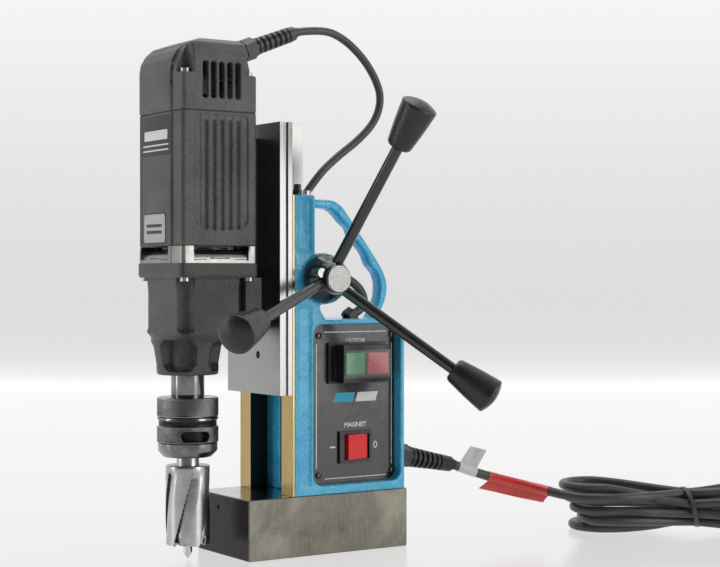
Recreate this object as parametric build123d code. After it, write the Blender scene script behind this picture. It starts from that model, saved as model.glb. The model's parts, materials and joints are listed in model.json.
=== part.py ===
from build123d import *
import math
import os

# Magnetic drill press: an electromagnet base, a cast frame with brass guides, a motor carriage
# fed by a rack and pinion, a geared spindle with an annular cutter, and a mains lead in a hank.
# Millimetres. +Z up, +X the control panel's side, -Y the drilling side. The origin is the centre
# of the magnet's underside.

# ---- driving dimensions ---------------------------------------------------------------------
BASE_W, BASE_L, BASE_H = 90.0, 160.0, 51.0
HALF_W = BASE_W / 2

CAST_FRONT, CAST_BACK = -35.5, 77.5     # front and back of the cast frame
PLATE_BACK = -15.7                      # back of the column's plate
WEB_HALF, WEB_BACK = 16.0, 3.0          # rib behind the column's plate
BOX_TOP, COLUMN_TOP = 200.0, 306.0
CHANNEL_HALF, CHANNEL_FLOOR = 33.0, -18.0

FEED_Y, FEED_Z = -7.0, 235.0            # feed shaft's axis
FEED_MODULE, FEED_TEETH = 1.0, 18
FEED_PITCH_R = FEED_MODULE * FEED_TEETH / 2
BOSS_R, FEED_BORE_R, FEED_SHAFT_R = 22.0, 10.5, 7.0
ARM_ROOT_X, ARM_TILT, ARM_FIRST, ARM_R = 53.6, 31.0, 77.0, 4.8
KNOB_NEAR, KNOB_RIM = 130.0, 168.0      # along the arm, from the hub's axis

SLIDE_FRONT, SLIDE_BACK = -50.0, -37.8
SLIDE_BOTTOM, SLIDE_TOP = 136.7, 366.9
TONGUE_BACK = -18.4
DOVETAIL_FRONT_HALF, DOVETAIL_BACK_HALF = 26.4, 30.4   # inner faces of the brass guides
SLIDE_GAP = 0.25

MOTOR_Y = -104.0                        # middle of the motor, and its shaft
MOTOR_HALF_X, MOTOR_HALF_Y, MOTOR_CORNER = 40.0, 35.5, 4.0
SIDE_PANEL = (-126.9, -77.7, 279.0, 370.5)   # y and z of the shallow panel in the motor's sides
SPINDLE_Y = -113.3
FLANGE_BOTTOM, RING_BOTTOM, HOUSING_BOTTOM = 236.0, 248.0, 262.0
CAP_BOTTOM, CAP_TOP = 373.0, 434.0
NOSE_BOTTOM = 155.0
SPINDLE_R = 14.0

STAGE1_MODULE, STAGE1_PINION, STAGE1_GEAR = 1.0, 7, 26
STAGE2_MODULE, STAGE2_PINION, STAGE2_GEAR = 1.25, 8, 26
STAGE1_DISTANCE = STAGE1_MODULE * (STAGE1_PINION + STAGE1_GEAR) / 2
STAGE2_DISTANCE = STAGE2_MODULE * (STAGE2_PINION + STAGE2_GEAR) / 2

PANEL_X = 35.0                          # front of the control panel's plate
RECESS = (-16.5, 73.2, 58.5, 196.0)     # y and z of the panel's recess
SWITCH = (10.0, 57.0, 145.5, 178.0)     # y and z of the motor switch's body
ROCKER = (19.6, 44.6, 78.7, 100.0)      # y and z of the magnet's rocker

LEAD_D, MAINS_D = 7.0, 8.5
LEAD_X = 10.0                           # plane of the motor lead's loop
GLAND_X, GLAND_Z = 22.0, 79.5           # mains gland on the casting's back

# ---- free-cord routes, chosen by hand ---------------------------------------------------------
MOTOR_LEAD = [(LEAD_X, -4.0, 451.5), (LEAD_X, 14.0, 453.5), (LEAD_X, 35.0, 447.5),
              (LEAD_X, 55.0, 433.0), (LEAD_X, 69.5, 415.0), (LEAD_X, 76.5, 397.0),
              (LEAD_X, 70.5, 376.5), (LEAD_X, 52.5, 358.5), (LEAD_X, 29.5, 342.5),
              (LEAD_X, 9.5, 325.5), (LEAD_X, -3.0, 309.0)]
WINDOW_LEAD = [(5.0, 15.3, 238.5), (5.0, 30.0, 239.5), (5.0, 45.0, 234.5), (5.0, 57.5, 225.5),
               (5.0, 62.0, 213.0), (5.0, 54.5, 205.5), (5.0, 45.5, 201.8)]
MAINS_CORD = [(22.0, 148.0, 65.0), (25.0, 172.0, 56.0), (37.0, 199.0, 48.0),
              (57.0, 222.0, 41.0), (84.0, 241.0, 37.5)]
HANK_START, HANK_END = (65.4, 238.6), (197.7, 438.9)
HANK_R, HANK_TIE_R = 24.5, 17.3
HANK_WIDEN = 1.24                        # the hank is wider across the floor than it is high

os.makedirs("parts", exist_ok=True)


# ---- helpers ----------------------------------------------------------------------------------
def block(x0, x1, y0, y1, z0, z1):
    return Pos((x0 + x1) / 2, (y0 + y1) / 2, (z0 + z1) / 2) * Box(x1 - x0, y1 - y0, z1 - z0)


def rod(start, end, radius):
    """A round bar from start to end."""
    a, b = Vector(*start), Vector(*end)
    return extrude(Plane(origin=a, z_dir=b - a) * Circle(radius), (b - a).length)


def rod_z(x, y, z0, z1, radius):
    return rod((x, y, z0), (x, y, z1), radius)


def rod_x(x0, x1, y, z, radius):
    return rod((x0, y, z), (x1, y, z), radius)


def rod_y(x, y0, y1, z, radius):
    return rod((x, y0, z), (x, y1, z), radius)


def round_block(half_x, half_y, y, z0, z1, radius):
    """A block with rounded upright edges, centred on x = 0."""
    return extrude(Plane.XY.offset(z0) * Pos(0, y) * RectangleRounded(2 * half_x, 2 * half_y, radius),
                   z1 - z0)


def profile_x(points, x0, x1):
    """An outline in y and z, carried from x0 to x1."""
    face = make_face(Polyline([(x0, y, z) for y, z in points], close=True))
    return extrude(face, x1 - x0, dir=(1, 0, 0))


def profile_z(points, z0, z1):
    """An outline in x and y, carried from z0 to z1."""
    face = make_face(Polyline([(x, y, z0) for x, y in points], close=True))
    return extrude(face, z1 - z0, dir=(0, 0, 1))


def turned(points, origin, direction):
    """A solid of revolution: points are (radius, distance along the axis)."""
    plane = Plane(origin=origin, z_dir=direction)
    outline = make_face(Polyline([plane.from_local_coords((r, 0, d)) for r, d in points], close=True))
    return revolve(outline, Axis(plane.origin, plane.z_dir), 360)


def socket_screw(origin, direction, head_r, head_h, shank_r, shank_h):
    """A cap screw: its head stands along direction from origin, its shank goes the other way."""
    plane = Plane(origin=origin, z_dir=direction)
    head = extrude(plane * Circle(head_r), head_h)
    shank = extrude(plane * Circle(shank_r), -shank_h)
    socket = extrude(plane.offset(head_h * 0.4) * RegularPolygon(head_r * 0.5, 6), head_h)
    return head + shank - socket


def gear_outline(module, teeth, phase):
    """Straight-flanked teeth, narrow enough to run with backlash. phase turns a tooth in degrees."""
    pitch_r = module * teeth / 2
    tip_r, root_r = pitch_r + 0.80 * module, pitch_r - 1.15 * module
    pitch_angle = 360 / teeth
    points = []
    for tooth in range(teeth):
        middle = phase + tooth * pitch_angle
        for radius, share in ((root_r, -0.31), (pitch_r, -0.205), (tip_r, -0.085),
                              (tip_r, 0.085), (pitch_r, 0.205), (root_r, 0.31)):
            angle = math.radians(middle + share * pitch_angle)
            points.append((radius * math.cos(angle), radius * math.sin(angle)))
    return points


def gear_z(module, teeth, x, y, z0, z1, phase):
    outline = [(x + px, y + py) for px, py in gear_outline(module, teeth, phase)]
    return profile_z(outline, z0, z1)


def cord_path(points):
    """Straight runs joined by the largest arcs that they allow, and the arcs' radii."""
    vectors = [Vector(*p) for p in points]
    radii = []
    for before, corner, after in zip(vectors, vectors[1:], vectors[2:]):
        run_in, run_out = corner - before, after - corner
        half_turn = math.radians(run_in.get_angle(run_out)) / 2
        radii.append(0.45 * min(run_in.length, run_out.length) / math.tan(half_turn))
    return FilletPolyline(*vectors, radius=radii), radii


def cord_tube(name, points, diameter):
    path, radii = cord_path(points)
    tube = sweep(Plane(origin=path @ 0, z_dir=path % 0) * Circle(diameter / 2), path=path)
    ideal = math.pi * diameter ** 2 / 4 * path.length
    print(name, "length", round(path.length, 1), "volume ratio", round(tube.volume / ideal, 4),
          "radii", [round(r) for r in radii])
    return tube


def save(name, *shapes):
    solids = [solid for shape in shapes for solid in shape.solids()]
    export_step(solids[0] if len(solids) == 1 else Compound(solids), f"parts/{name}.step")


# ---- magnet base --------------------------------------------------------------------------------
COIL_OUTER, COIL_INNER = (66.0, 136.0), (34.0, 104.0)
COIL_BOTTOM, COIL_TOP = 0.6, 34.0
BASE_BOLT_Y = (14.0, 42.0)
GUARD_HOLE_X, GUARD_HOLE_Z, GUARD_HOLE_R, GUARD_HOLE_DEPTH = -8.0, 40.0, 2.1, 11.0


def coil_ring(z0, z1):
    outer, inner = COIL_OUTER, COIL_INNER
    return (block(-outer[0] / 2, outer[0] / 2, -outer[1] / 2, outer[1] / 2, z0, z1)
            - block(-inner[0] / 2, inner[0] / 2, -inner[1] / 2, inner[1] / 2, z0, z1))


def make_base():
    body = block(-HALF_W, HALF_W, -BASE_L / 2, BASE_L / 2, 0, BASE_H)
    body = chamfer(body.edges(), 0.7)
    body -= coil_ring(0, COIL_TOP)
    body -= rod_y(GUARD_HOLE_X, -BASE_L / 2, -BASE_L / 2 + GUARD_HOLE_DEPTH, GUARD_HOLE_Z, GUARD_HOLE_R)
    bolts = []
    for y in BASE_BOLT_Y:
        body -= rod_z(0, y, 0, BASE_H, 4.3) + rod_z(0, y, 0, 10, 7.3)
        bolts.append(socket_screw((0, y, 9.0), (0, 0, -1), 6.5, 8, 4, 52))
    save("magnet_base", body)
    save("magnet_coil", coil_ring(COIL_BOTTOM, COIL_TOP))
    save("base_bolts", *bolts)


# ---- cast frame ---------------------------------------------------------------------------------
HANDLE_HALF = 7.0
PLATE_LEDGE = 3.5


def make_casting():
    box_outline = [(CAST_FRONT, BASE_H), (CAST_BACK, BASE_H), (CAST_BACK - 0.4, BASE_H + 16),
                   (CAST_BACK - 0.4, BOX_TOP - 13), (CAST_BACK - 4, BOX_TOP - 5),
                   (CAST_BACK - 12, BOX_TOP), (CAST_FRONT, BOX_TOP)]
    body = profile_x(box_outline, -HALF_W, HALF_W)
    body += block(-HALF_W, HALF_W, CAST_FRONT, PLATE_BACK, BOX_TOP - 5, COLUMN_TOP)
    neck = [(PLATE_BACK - 2, BOX_TOP - 5), (-1, BOX_TOP - 5), (-7, BOX_TOP + 4), (-10, BOX_TOP + 9),
            (-10, FEED_Z - 16), (PLATE_BACK - 2, FEED_Z - 16)]
    body += profile_x(neck, -HALF_W, HALF_W)
    body += block(-WEB_HALF, WEB_HALF, PLATE_BACK - 2, WEB_BACK, BOX_TOP - 5, COLUMN_TOP)
    body += rod_x(-HALF_W, HALF_W, FEED_Y, FEED_Z, BOSS_R)
    # guide channel, the rack's relief and the feed shaft's bore
    body -= block(-CHANNEL_HALF, CHANNEL_HALF, CAST_FRONT - 20, CHANNEL_FLOOR, BASE_H - 1, COLUMN_TOP + 1)
    body -= block(-9.5, 9.5, CHANNEL_FLOOR - 1, -13.8, BASE_H + 6, COLUMN_TOP + 1)
    body -= rod_x(-HALF_W - 1, HALF_W + 1, FEED_Y, FEED_Z, FEED_BORE_R)
    # panel recess, with the control box's cavity behind it
    y0, y1, z0, z1 = RECESS
    recess = Plane(origin=(PANEL_X - 2, (y0 + y1) / 2, (z0 + z1) / 2), x_dir=(0, 1, 0), z_dir=(1, 0, 0))
    body -= extrude(recess * RectangleRounded(y1 - y0, z1 - z0, 9), 20)
    # the control box's cavity, clear of the guide channel
    body -= block(-39, PANEL_X - 1, -10, y1 - PLATE_LEDGE, z0 + PLATE_LEDGE, z1 - PLATE_LEDGE)
    body -= rod_y(GLAND_X, CAST_BACK - 20, CAST_BACK + 5, GLAND_Z, 6.0)
    body -= rod(WINDOW_LEAD[-2], WINDOW_LEAD[-1], 4.3)
    body -= rod(WINDOW_LEAD[-1], WINDOW_GLAND_FOOT, 4.3)
    for y in BASE_BOLT_Y:
        body -= rod_z(0, y, BASE_H - 1, BASE_H + 10.4, 4.0)
    body -= rod_z(SCREW_X, SCREW_Y, COLUMN_TOP - 14, COLUMN_TOP + 1, 2.5)
    body -= rod_z(LEAD_X, FERRULE_Y, COLUMN_TOP - 12, COLUMN_TOP + 1, 4.2)
    for z in GIB_SCREW_Z:
        body -= rod_x(-HALF_W - 1, -CHANNEL_HALF + 1, GIB_SCREW_Y, z, 2.5)
    save("body_casting", body)


def make_handle():
    outer = [(WEB_BACK, 304.8), (28, 304.8), (36, 301), (58, 274.5), (78, 249), (84.5, 239),
             (86.5, 227.5), (84.5, 215), (79.5, 205.5), (71, BOX_TOP)]
    inner = [(60, BOX_TOP), (69, 206), (75, 215), (77.5, 227.5), (75.5, 236), (70, 245),
             (51, 269), (30, 292.5), (22, 296.5), (WEB_BACK, 296.5)]
    bar = profile_x(outer + inner, -HANDLE_HALF, HANDLE_HALF)
    long_edges = [e for e in bar.edges() if abs(e.center().X) > HANDLE_HALF - 0.1
                  and WEB_BACK + 2 < e.center().Y and e.center().Z > BOX_TOP + 1]
    save("carry_handle", chamfer(long_edges, 2.0))


# ---- guides, gib screws and small fittings of the column ------------------------------------------
GIB_SCREW_Z, GIB_SCREW_Y = (85.5, 128.0, 170.5, 213.0, 275.0), -26.5
SCREW_X, SCREW_Y = 39.4, -29.5
FERRULE_Y = -4.0
WINDOW_GLAND_FOOT = (5.0, 36.5, 196.0)


def make_guides():
    for name, side in (("guide_strip_left", -1), ("guide_strip_right", 1)):
        outline = [(side * DOVETAIL_FRONT_HALF, -37.5), (side * HALF_W, -37.5),
                   (side * HALF_W, CAST_FRONT), (side * CHANNEL_HALF, CAST_FRONT),
                   (side * CHANNEL_HALF, CHANNEL_FLOOR), (side * DOVETAIL_BACK_HALF, CHANNEL_FLOOR)]
        save(name, profile_z(outline, BASE_H, COLUMN_TOP))
    screws = []
    for z in GIB_SCREW_Z:
        shank = rod_x(-HALF_W - 7, -CHANNEL_HALF, GIB_SCREW_Y, z, 2.5)
        nut = extrude(Plane(origin=(-HALF_W, GIB_SCREW_Y, z), z_dir=(-1, 0, 0))
                      * RegularPolygon(4.6, 6), 3.5)
        screws.append(shank + nut)
    save("gib_screws", *screws)


def make_column_fittings():
    ferrule = (rod_z(LEAD_X, FERRULE_Y, COLUMN_TOP, COLUMN_TOP + 5.5, 5.4)
               + rod_z(LEAD_X, FERRULE_Y, COLUMN_TOP - 12, COLUMN_TOP, 4.2))
    ferrule -= rod_z(LEAD_X, FERRULE_Y, COLUMN_TOP - 12, COLUMN_TOP + 3.0, 3.0)
    ferrule -= rod((LEAD_X, -10.0, 300.0), (LEAD_X, 9.5, 325.5), LEAD_D / 2 + 0.1)
    save("lead_ferrule", ferrule)
    washer = rod_z(SCREW_X, SCREW_Y, COLUMN_TOP, COLUMN_TOP + 4.5, 4.0)
    screw = socket_screw((SCREW_X, SCREW_Y, COLUMN_TOP + 4.5), (0, 0, 1), 3.2, 4.6, 2.5, 17)
    save("column_screw", washer + screw)
    tube = cord_tube("window_lead", WINDOW_LEAD, 8.0)
    save("window_lead", tube)
    mouth, foot = Vector(*WINDOW_LEAD[-1]), Vector(*WINDOW_GLAND_FOOT)
    way = (mouth - foot).normalized()
    nut = extrude(Plane(origin=mouth - way * 3.5, z_dir=way) * RegularPolygon(7.6, 6), 7.5)
    nut -= rod(mouth - way * 6, mouth + way * 6, 4.05)
    nut -= block(-20, 30, 20, 80, BOX_TOP - 20, BOX_TOP)
    save("window_gland", nut)


# ---- control panel --------------------------------------------------------------------------------
SWITCH_FRONT = 50.5
BUTTON_TRAVEL = 3.0
START_BUTTON = (12.0, 31.6, 153.0, 171.5)
STOP_BUTTON = (34.6, 56.0, 153.0, 171.5)


def panel_screw_places():
    y0, y1, z0, z1 = RECESS
    return [(y, z) for y in (y0 + 10.8, y1 - 3.2) for z in (z0 + 7.7, z1 - 9.9)]


def make_panel():
    y0, y1, z0, z1 = RECESS
    middle = Plane(origin=(PANEL_X - 2, (y0 + y1) / 2, (z0 + z1) / 2), x_dir=(0, 1, 0), z_dir=(1, 0, 0))
    plate = extrude(middle * RectangleRounded(y1 - y0 - 0.8, z1 - z0 - 0.8, 8.6), 2.0)
    plate -= block(PANEL_X - 5, PANEL_X + 5, SWITCH[0] + 2, SWITCH[1] - 2, SWITCH[2] + 2, SWITCH[3] - 2)
    plate -= block(PANEL_X - 5, PANEL_X + 5, ROCKER[0] - 2, ROCKER[1] + 2, ROCKER[2] - 2, ROCKER[3] + 2)
    screws = []
    for y, z in panel_screw_places():
        plate -= rod_x(PANEL_X - 5, PANEL_X + 5, y, z, 1.7)
        head = turned([(0, 0), (2.9, 0), (2.9, 0.9), (2.0, 1.9), (0, 2.1)], (PANEL_X, y, z), (1, 0, 0))
        slot = (block(PANEL_X + 0.9, PANEL_X + 3, y - 1.7, y + 1.7, z - 0.4, z + 0.4)
                + block(PANEL_X + 0.9, PANEL_X + 3, y - 0.4, y + 0.4, z - 1.7, z + 1.7))
        screws.append(head + rod_x(PANEL_X - 2, PANEL_X, y, z, 1.6) - slot)
    save("control_panel", plate)
    save("panel_screws", *screws)


def make_motor_switch():
    y0, y1, z0, z1 = SWITCH
    body = block(PANEL_X - 26, SWITCH_FRONT, y0 + 2.2, y1 - 2.2, z0 + 2.2, z1 - 2.2)
    body += block(PANEL_X, SWITCH_FRONT, y0, y1, z0, z1)
    body += block(PANEL_X, PANEL_X + 2.6, y0 - 7, y1 + 5, z0 - 1, z1 + 2)
    for button in (START_BUTTON, STOP_BUTTON):
        body -= block(SWITCH_FRONT - 9, SWITCH_FRONT + 1, button[0] - 0.4, button[1] + 0.4,
                      button[2] - 0.4, button[3] + 0.4)
    save("motor_switch_box", body)
    for name, button in (("start_button", START_BUTTON), ("stop_button", STOP_BUTTON)):
        cap = block(SWITCH_FRONT - 5, SWITCH_FRONT + 0.8, *button)
        cap = chamfer(cap.faces().sort_by(Axis.X)[-1].edges(), 0.6)
        save(name, cap)
    shell = block(SWITCH_FRONT, SWITCH_FRONT + 3.0, y0 + 0.6, y1 - 0.6, z0 + 4, z1 - 4)
    shell -= block(SWITCH_FRONT - 1, SWITCH_FRONT + 2.2, y0 + 1.4, y1 - 1.0, z0 + 6, z1 - 5.2)
    save("switch_cover", shell)


def make_magnet_switch():
    y0, y1, z0, z1 = ROCKER
    x = PANEL_X + 2.6
    frame = block(PANEL_X, x, y0 - 5, y1 + 2.5, z0 - 3.5, z1 + 3)
    frame += block(PANEL_X - 20, PANEL_X, y0 - 1.8, y1 + 1.8, z0 - 1.8, z1 + 1.8)
    frame -= block(PANEL_X - 14, x + 1, y0 - 0.4, y1 + 0.4, z0 - 0.4, z1 + 0.4)
    save("magnet_switch_frame", frame)
    middle = (y0 + y1) / 2
    outline = [(x - 6.5, y0 + 1.6), (x + 3.0, y0 + 2.0), (x + 1.2, middle), (x - 1.4, y1 - 0.6),
               (x - 6.5, y1 - 1.6), (x - 9.5, middle)]
    rocker = profile_z(outline, z0, z1)
    save("magnet_rocker", rocker)
    return (x - 4.0, middle)


def make_board():
    board = block(-30, -28.4, 4, 60, 72, 150)
    board += block(-28.4, -12, 12, 30, 84, 108) + block(-28.4, -16, 36, 54, 84, 100)
    board += block(-28.4, -18, 14, 50, 122, 136)
    for y, z in ((8, 76), (56, 76), (8, 146), (56, 146)):
        board += rod_x(-39, -29, y, z, 2.5)
    save("control_board", board)


# ---- feed: pinion shaft, hub, arms and knobs --------------------------------------------------------
HUB_DISC_X, HUB_BACK_X, HUB_FRONT_X, CAP_X = 46.0, 50.5, 66.4, 70.6
HUB_R, HUB_FRONT_R, HUB_CAP_R = 21.0, 13.6, 12.0
PLUNGER_R = 4.2
BUSH_INNER_X, BUSH_OUTER_X = 12.0, 44.5


def arm_direction(index):
    tilt, turn = math.radians(ARM_TILT), math.radians(ARM_FIRST - 120 * index)
    return Vector(math.sin(tilt), math.cos(tilt) * math.cos(turn), math.cos(tilt) * math.sin(turn))


def make_feed():
    root = Vector(ARM_ROOT_X, FEED_Y, FEED_Z)
    pinion_half = 8.6
    teeth = [(y + FEED_Y, z + FEED_Z) for y, z in gear_outline(FEED_MODULE, FEED_TEETH, 180.0)]
    shaft = profile_x(teeth, -pinion_half, pinion_half)
    shaft += rod_x(-HALF_W - 3, HUB_FRONT_X, FEED_Y, FEED_Z, FEED_SHAFT_R - 0.05)
    shaft += rod_x(-HALF_W - 6, -HALF_W - 1.2, FEED_Y, FEED_Z, 10.0)
    save("feed_shaft", shaft)
    bushes = []
    for side in (-1, 1):
        x0, x1 = sorted((side * BUSH_INNER_X, side * BUSH_OUTER_X))
        bushes.append(rod_x(x0, x1, FEED_Y, FEED_Z, FEED_BORE_R)
                      - rod_x(x0 - 1, x1 + 1, FEED_Y, FEED_Z, FEED_SHAFT_R))
    save("feed_bushes", *bushes)
    hub = turned([(0, HUB_DISC_X), (HUB_R - 1.5, HUB_DISC_X), (HUB_R, HUB_DISC_X + 1.5),
                  (HUB_R, HUB_BACK_X), (HUB_FRONT_R, HUB_FRONT_X), (0, HUB_FRONT_X)],
                 (0, FEED_Y, FEED_Z), (1, 0, 0))
    hub -= rod_x(HUB_DISC_X - 1, HUB_FRONT_X + 1, FEED_Y, FEED_Z, FEED_SHAFT_R - 0.05)
    pin_y, pin_z = FEED_Y - 14.5, FEED_Z + 5.0
    hub -= rod_x(HUB_BACK_X + 1.5, CAP_X + 2, pin_y, pin_z, PLUNGER_R)
    arms, knobs = [], []
    for index in range(3):
        way = arm_direction(index)
        arms.append(rod(root + way * 13.0, root + way * (KNOB_NEAR + 22), ARM_R))
        hub -= rod(root + way * 13.0, root + way * 40, ARM_R)
        hub -= rod(root + way * 16.5, root + way * 40, ARM_R + 1.4)
        knob = turned([(0, 0), (9.2, 0), (10.6, 1.6), (12.6, 14), (15.4, 37), (15.6, 38.5), (14.9, 39.6),
                       (11.5, 41.6), (6.0, 43.2), (0, 43.8)], root + way * KNOB_NEAR, way)
        knobs.append(knob - rod(root + way * (KNOB_NEAR - 1), root + way * (KNOB_NEAR + 22), ARM_R))
    save("feed_hub", hub)
    save("feed_arms", *arms)
    save("arm_knobs", *knobs)
    cap = turned([(0, HUB_FRONT_X), (HUB_CAP_R - 0.6, HUB_FRONT_X), (HUB_CAP_R, HUB_FRONT_X + 0.8),
                  (HUB_CAP_R, CAP_X - 0.8), (HUB_CAP_R - 0.8, CAP_X), (0, CAP_X)],
                 (0, FEED_Y, FEED_Z), (1, 0, 0))
    save("hub_cap", cap)
    save("hub_plunger", rod_x(HUB_BACK_X + 1.5, HUB_FRONT_X - 0.5, pin_y, pin_z, PLUNGER_R))


# ---- carriage: slide, rack and motor bracket --------------------------------------------------------
BRACKET_BOTTOM = 192.0
BRACKET_BOLTS = [(x, z) for x in (-9.0, 9.0) for z in (200.0, 226.0)]
GEARBOX = (35.5, -137.0, -76.0, 190.0)   # half width, front, back and bottom of the gear case
RACK_Z = (158.0, 342.0)
RACK_HALF = 8.0


def rack_outline():
    """Teeth facing +Y, meshed with the pinion's tooth that points at -Y."""
    pitch = math.pi * FEED_MODULE
    pitch_y = FEED_Y - FEED_PITCH_R
    root_y, tip_y = pitch_y - 1.15 * FEED_MODULE, pitch_y + 0.8 * FEED_MODULE
    count = int((RACK_Z[1] - RACK_Z[0]) / pitch / 2) - 1
    points = [(-27.0, RACK_Z[0]), (root_y, RACK_Z[0])]
    for tooth in range(-count, count + 1):
        middle = FEED_Z + (tooth + 0.5) * pitch
        if middle - pitch / 2 < RACK_Z[0] or middle + pitch / 2 > RACK_Z[1]:
            continue
        for y, share in ((root_y, -0.31), (pitch_y, -0.205), (tip_y, -0.10),
                         (tip_y, 0.10), (pitch_y, 0.205), (root_y, 0.31)):
            points.append((y, middle + share * pitch))
    return points + [(root_y, RACK_Z[1]), (-27.0, RACK_Z[1])]


def make_slide():
    plate = block(-HALF_W, HALF_W, SLIDE_FRONT, SLIDE_BACK, SLIDE_BOTTOM, SLIDE_TOP)
    for side in (-1, 1):
        groove = block(HALF_W - 2.0, HALF_W + 1, -46.5, -42.0, SLIDE_BOTTOM - 1, SLIDE_TOP + 1)
        plate -= groove if side > 0 else mirror(groove, Plane.YZ)
    front, back = DOVETAIL_FRONT_HALF - SLIDE_GAP, DOVETAIL_BACK_HALF - SLIDE_GAP
    tongue = [(-front, SLIDE_BACK - 1), (front, SLIDE_BACK - 1), (front, SLIDE_BACK + 0.3),
              (back, TONGUE_BACK), (-back, TONGUE_BACK), (-front, SLIDE_BACK + 0.3)]
    plate += profile_z(tongue, SLIDE_BOTTOM, SLIDE_TOP)
    plate -= block(-RACK_HALF, RACK_HALF, -27.0, TONGUE_BACK + 1, *RACK_Z)
    for x, z in BRACKET_BOLTS:
        plate -= rod_y(x, SLIDE_FRONT - 1, SLIDE_FRONT + 10, z, 3.0)
    plate -= rod_y(8.0, SLIDE_FRONT - 1, SLIDE_FRONT + 5, 170.0, 3.2)
    save("slide_plate", plate)
    rack = profile_x(rack_outline(), -RACK_HALF, RACK_HALF)
    save("feed_rack", rack)


def make_bracket():
    """The arm that carries the motor: a block behind the gear case with a narrow web up the motor's back."""
    motor_back = MOTOR_Y + MOTOR_HALF_Y
    bracket = block(-33, 33, GEARBOX[2], -61, BRACKET_BOTTOM, FLANGE_BOTTOM)
    bracket += block(-15, 15, -62, SLIDE_FRONT, BRACKET_BOTTOM, FLANGE_BOTTOM)
    bracket += block(-8, 8, motor_back + 1, SLIDE_FRONT, FLANGE_BOTTOM - 1, RING_BOTTOM)
    bracket += block(-8, 8, motor_back, SLIDE_FRONT, RING_BOTTOM, 355.0)
    for x, y in FLANGE_SCREWS[1::2]:
        bracket -= rod_z(x, y, FLANGE_BOTTOM - 4, FLANGE_BOTTOM + 1, 4.4)
    bolts = []
    for x, z in BRACKET_BOLTS:
        bracket -= rod_y(x, GEARBOX[2] - 1, -70.3, z, 5.3) + rod_y(x, -71, SLIDE_FRONT + 1, z, 3.0)
        bolts.append(socket_screw((x, -70.3, z), (0, -1, 0), 5, 5.5, 3.0, 30.3))
    save("motor_bracket", bracket)
    save("bracket_bolts", *bolts)


# ---- carriage: gearbox ------------------------------------------------------------------------------
def intermediate_axis():
    """The intermediate shaft stands STAGE1_DISTANCE from the motor and STAGE2_DISTANCE from the spindle."""
    gap = MOTOR_Y - SPINDLE_Y
    along = (STAGE2_DISTANCE ** 2 - STAGE1_DISTANCE ** 2 - gap ** 2) / (2 * gap)
    return -math.sqrt(STAGE1_DISTANCE ** 2 - along ** 2), MOTOR_Y + along


IDLER_X, IDLER_Y = intermediate_axis()
CASE_WALL = 3.0
FLANGE_SCREWS = [(x, y) for x in (-35.5, 35.5) for y in (-134.5, -75.0)]


def make_gearbox():
    half, front, back, bottom = GEARBOX
    middle, half_y = (front + back) / 2, (back - front) / 2
    body = round_block(half, half_y, middle, bottom, FLANGE_BOTTOM + 1, 8)
    for x, y in FLANGE_SCREWS:
        body -= rod_z(x, y, bottom - 1, FLANGE_BOTTOM + 2, 4.6)
    body += round_block(MOTOR_HALF_X + 1, MOTOR_HALF_Y + 1, MOTOR_Y, FLANGE_BOTTOM, RING_BOTTOM,
                        MOTOR_CORNER + 1)
    nose = turned([(0, NOSE_BOTTOM), (24.0, NOSE_BOTTOM), (25.0, NOSE_BOTTOM + 1), (27.0, 178.0),
                   (33.0, 189.0), (33.0, bottom + 6), (0, bottom + 6)], (0, SPINDLE_Y, 0), (0, 0, 1))
    body += nose & block(-half, half, -139, back, NOSE_BOTTOM, bottom + 7)
    # gear space, spindle bore, and the windows of the nose around the bearing sleeve
    body -= round_block(half - CASE_WALL, half_y - CASE_WALL, middle, bottom + 4, FLANGE_BOTTOM, 10)
    body -= rod_z(0, MOTOR_Y, FLANGE_BOTTOM - 1, RING_BOTTOM + 1, 11.0)
    body -= rod_z(0, SPINDLE_Y, NOSE_BOTTOM - 1, bottom + 5, 19.0)
    for turn in range(4):
        window = Rot(0, 0, 90 * turn + 45) * block(20.5, 42, -15, 15, 159, 183.5)
        body -= Pos(0, SPINDLE_Y, 0) * window
    for x, y in FLANGE_SCREWS:
        body -= rod_z(x, y, FLANGE_BOTTOM - 1, RING_BOTTOM + 1, 2.2)
    save("gearbox_housing", body)
    sleeve = rod_z(0, SPINDLE_Y, NOSE_BOTTOM + 1, bottom + 4, 19.0)
    sleeve -= rod_z(0, SPINDLE_Y, NOSE_BOTTOM, bottom + 6, SPINDLE_R + 0.05)
    ring = rod_z(0, MOTOR_Y, FLANGE_BOTTOM, RING_BOTTOM, 11.0) - rod_z(0, MOTOR_Y, 235, 249, 5.05)
    top = rod_z(0, MOTOR_Y, 392.0, 400.0, 11.0) - rod_z(0, MOTOR_Y, 391, 401, 5.05)
    save("bearings", sleeve, ring, top)


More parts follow.
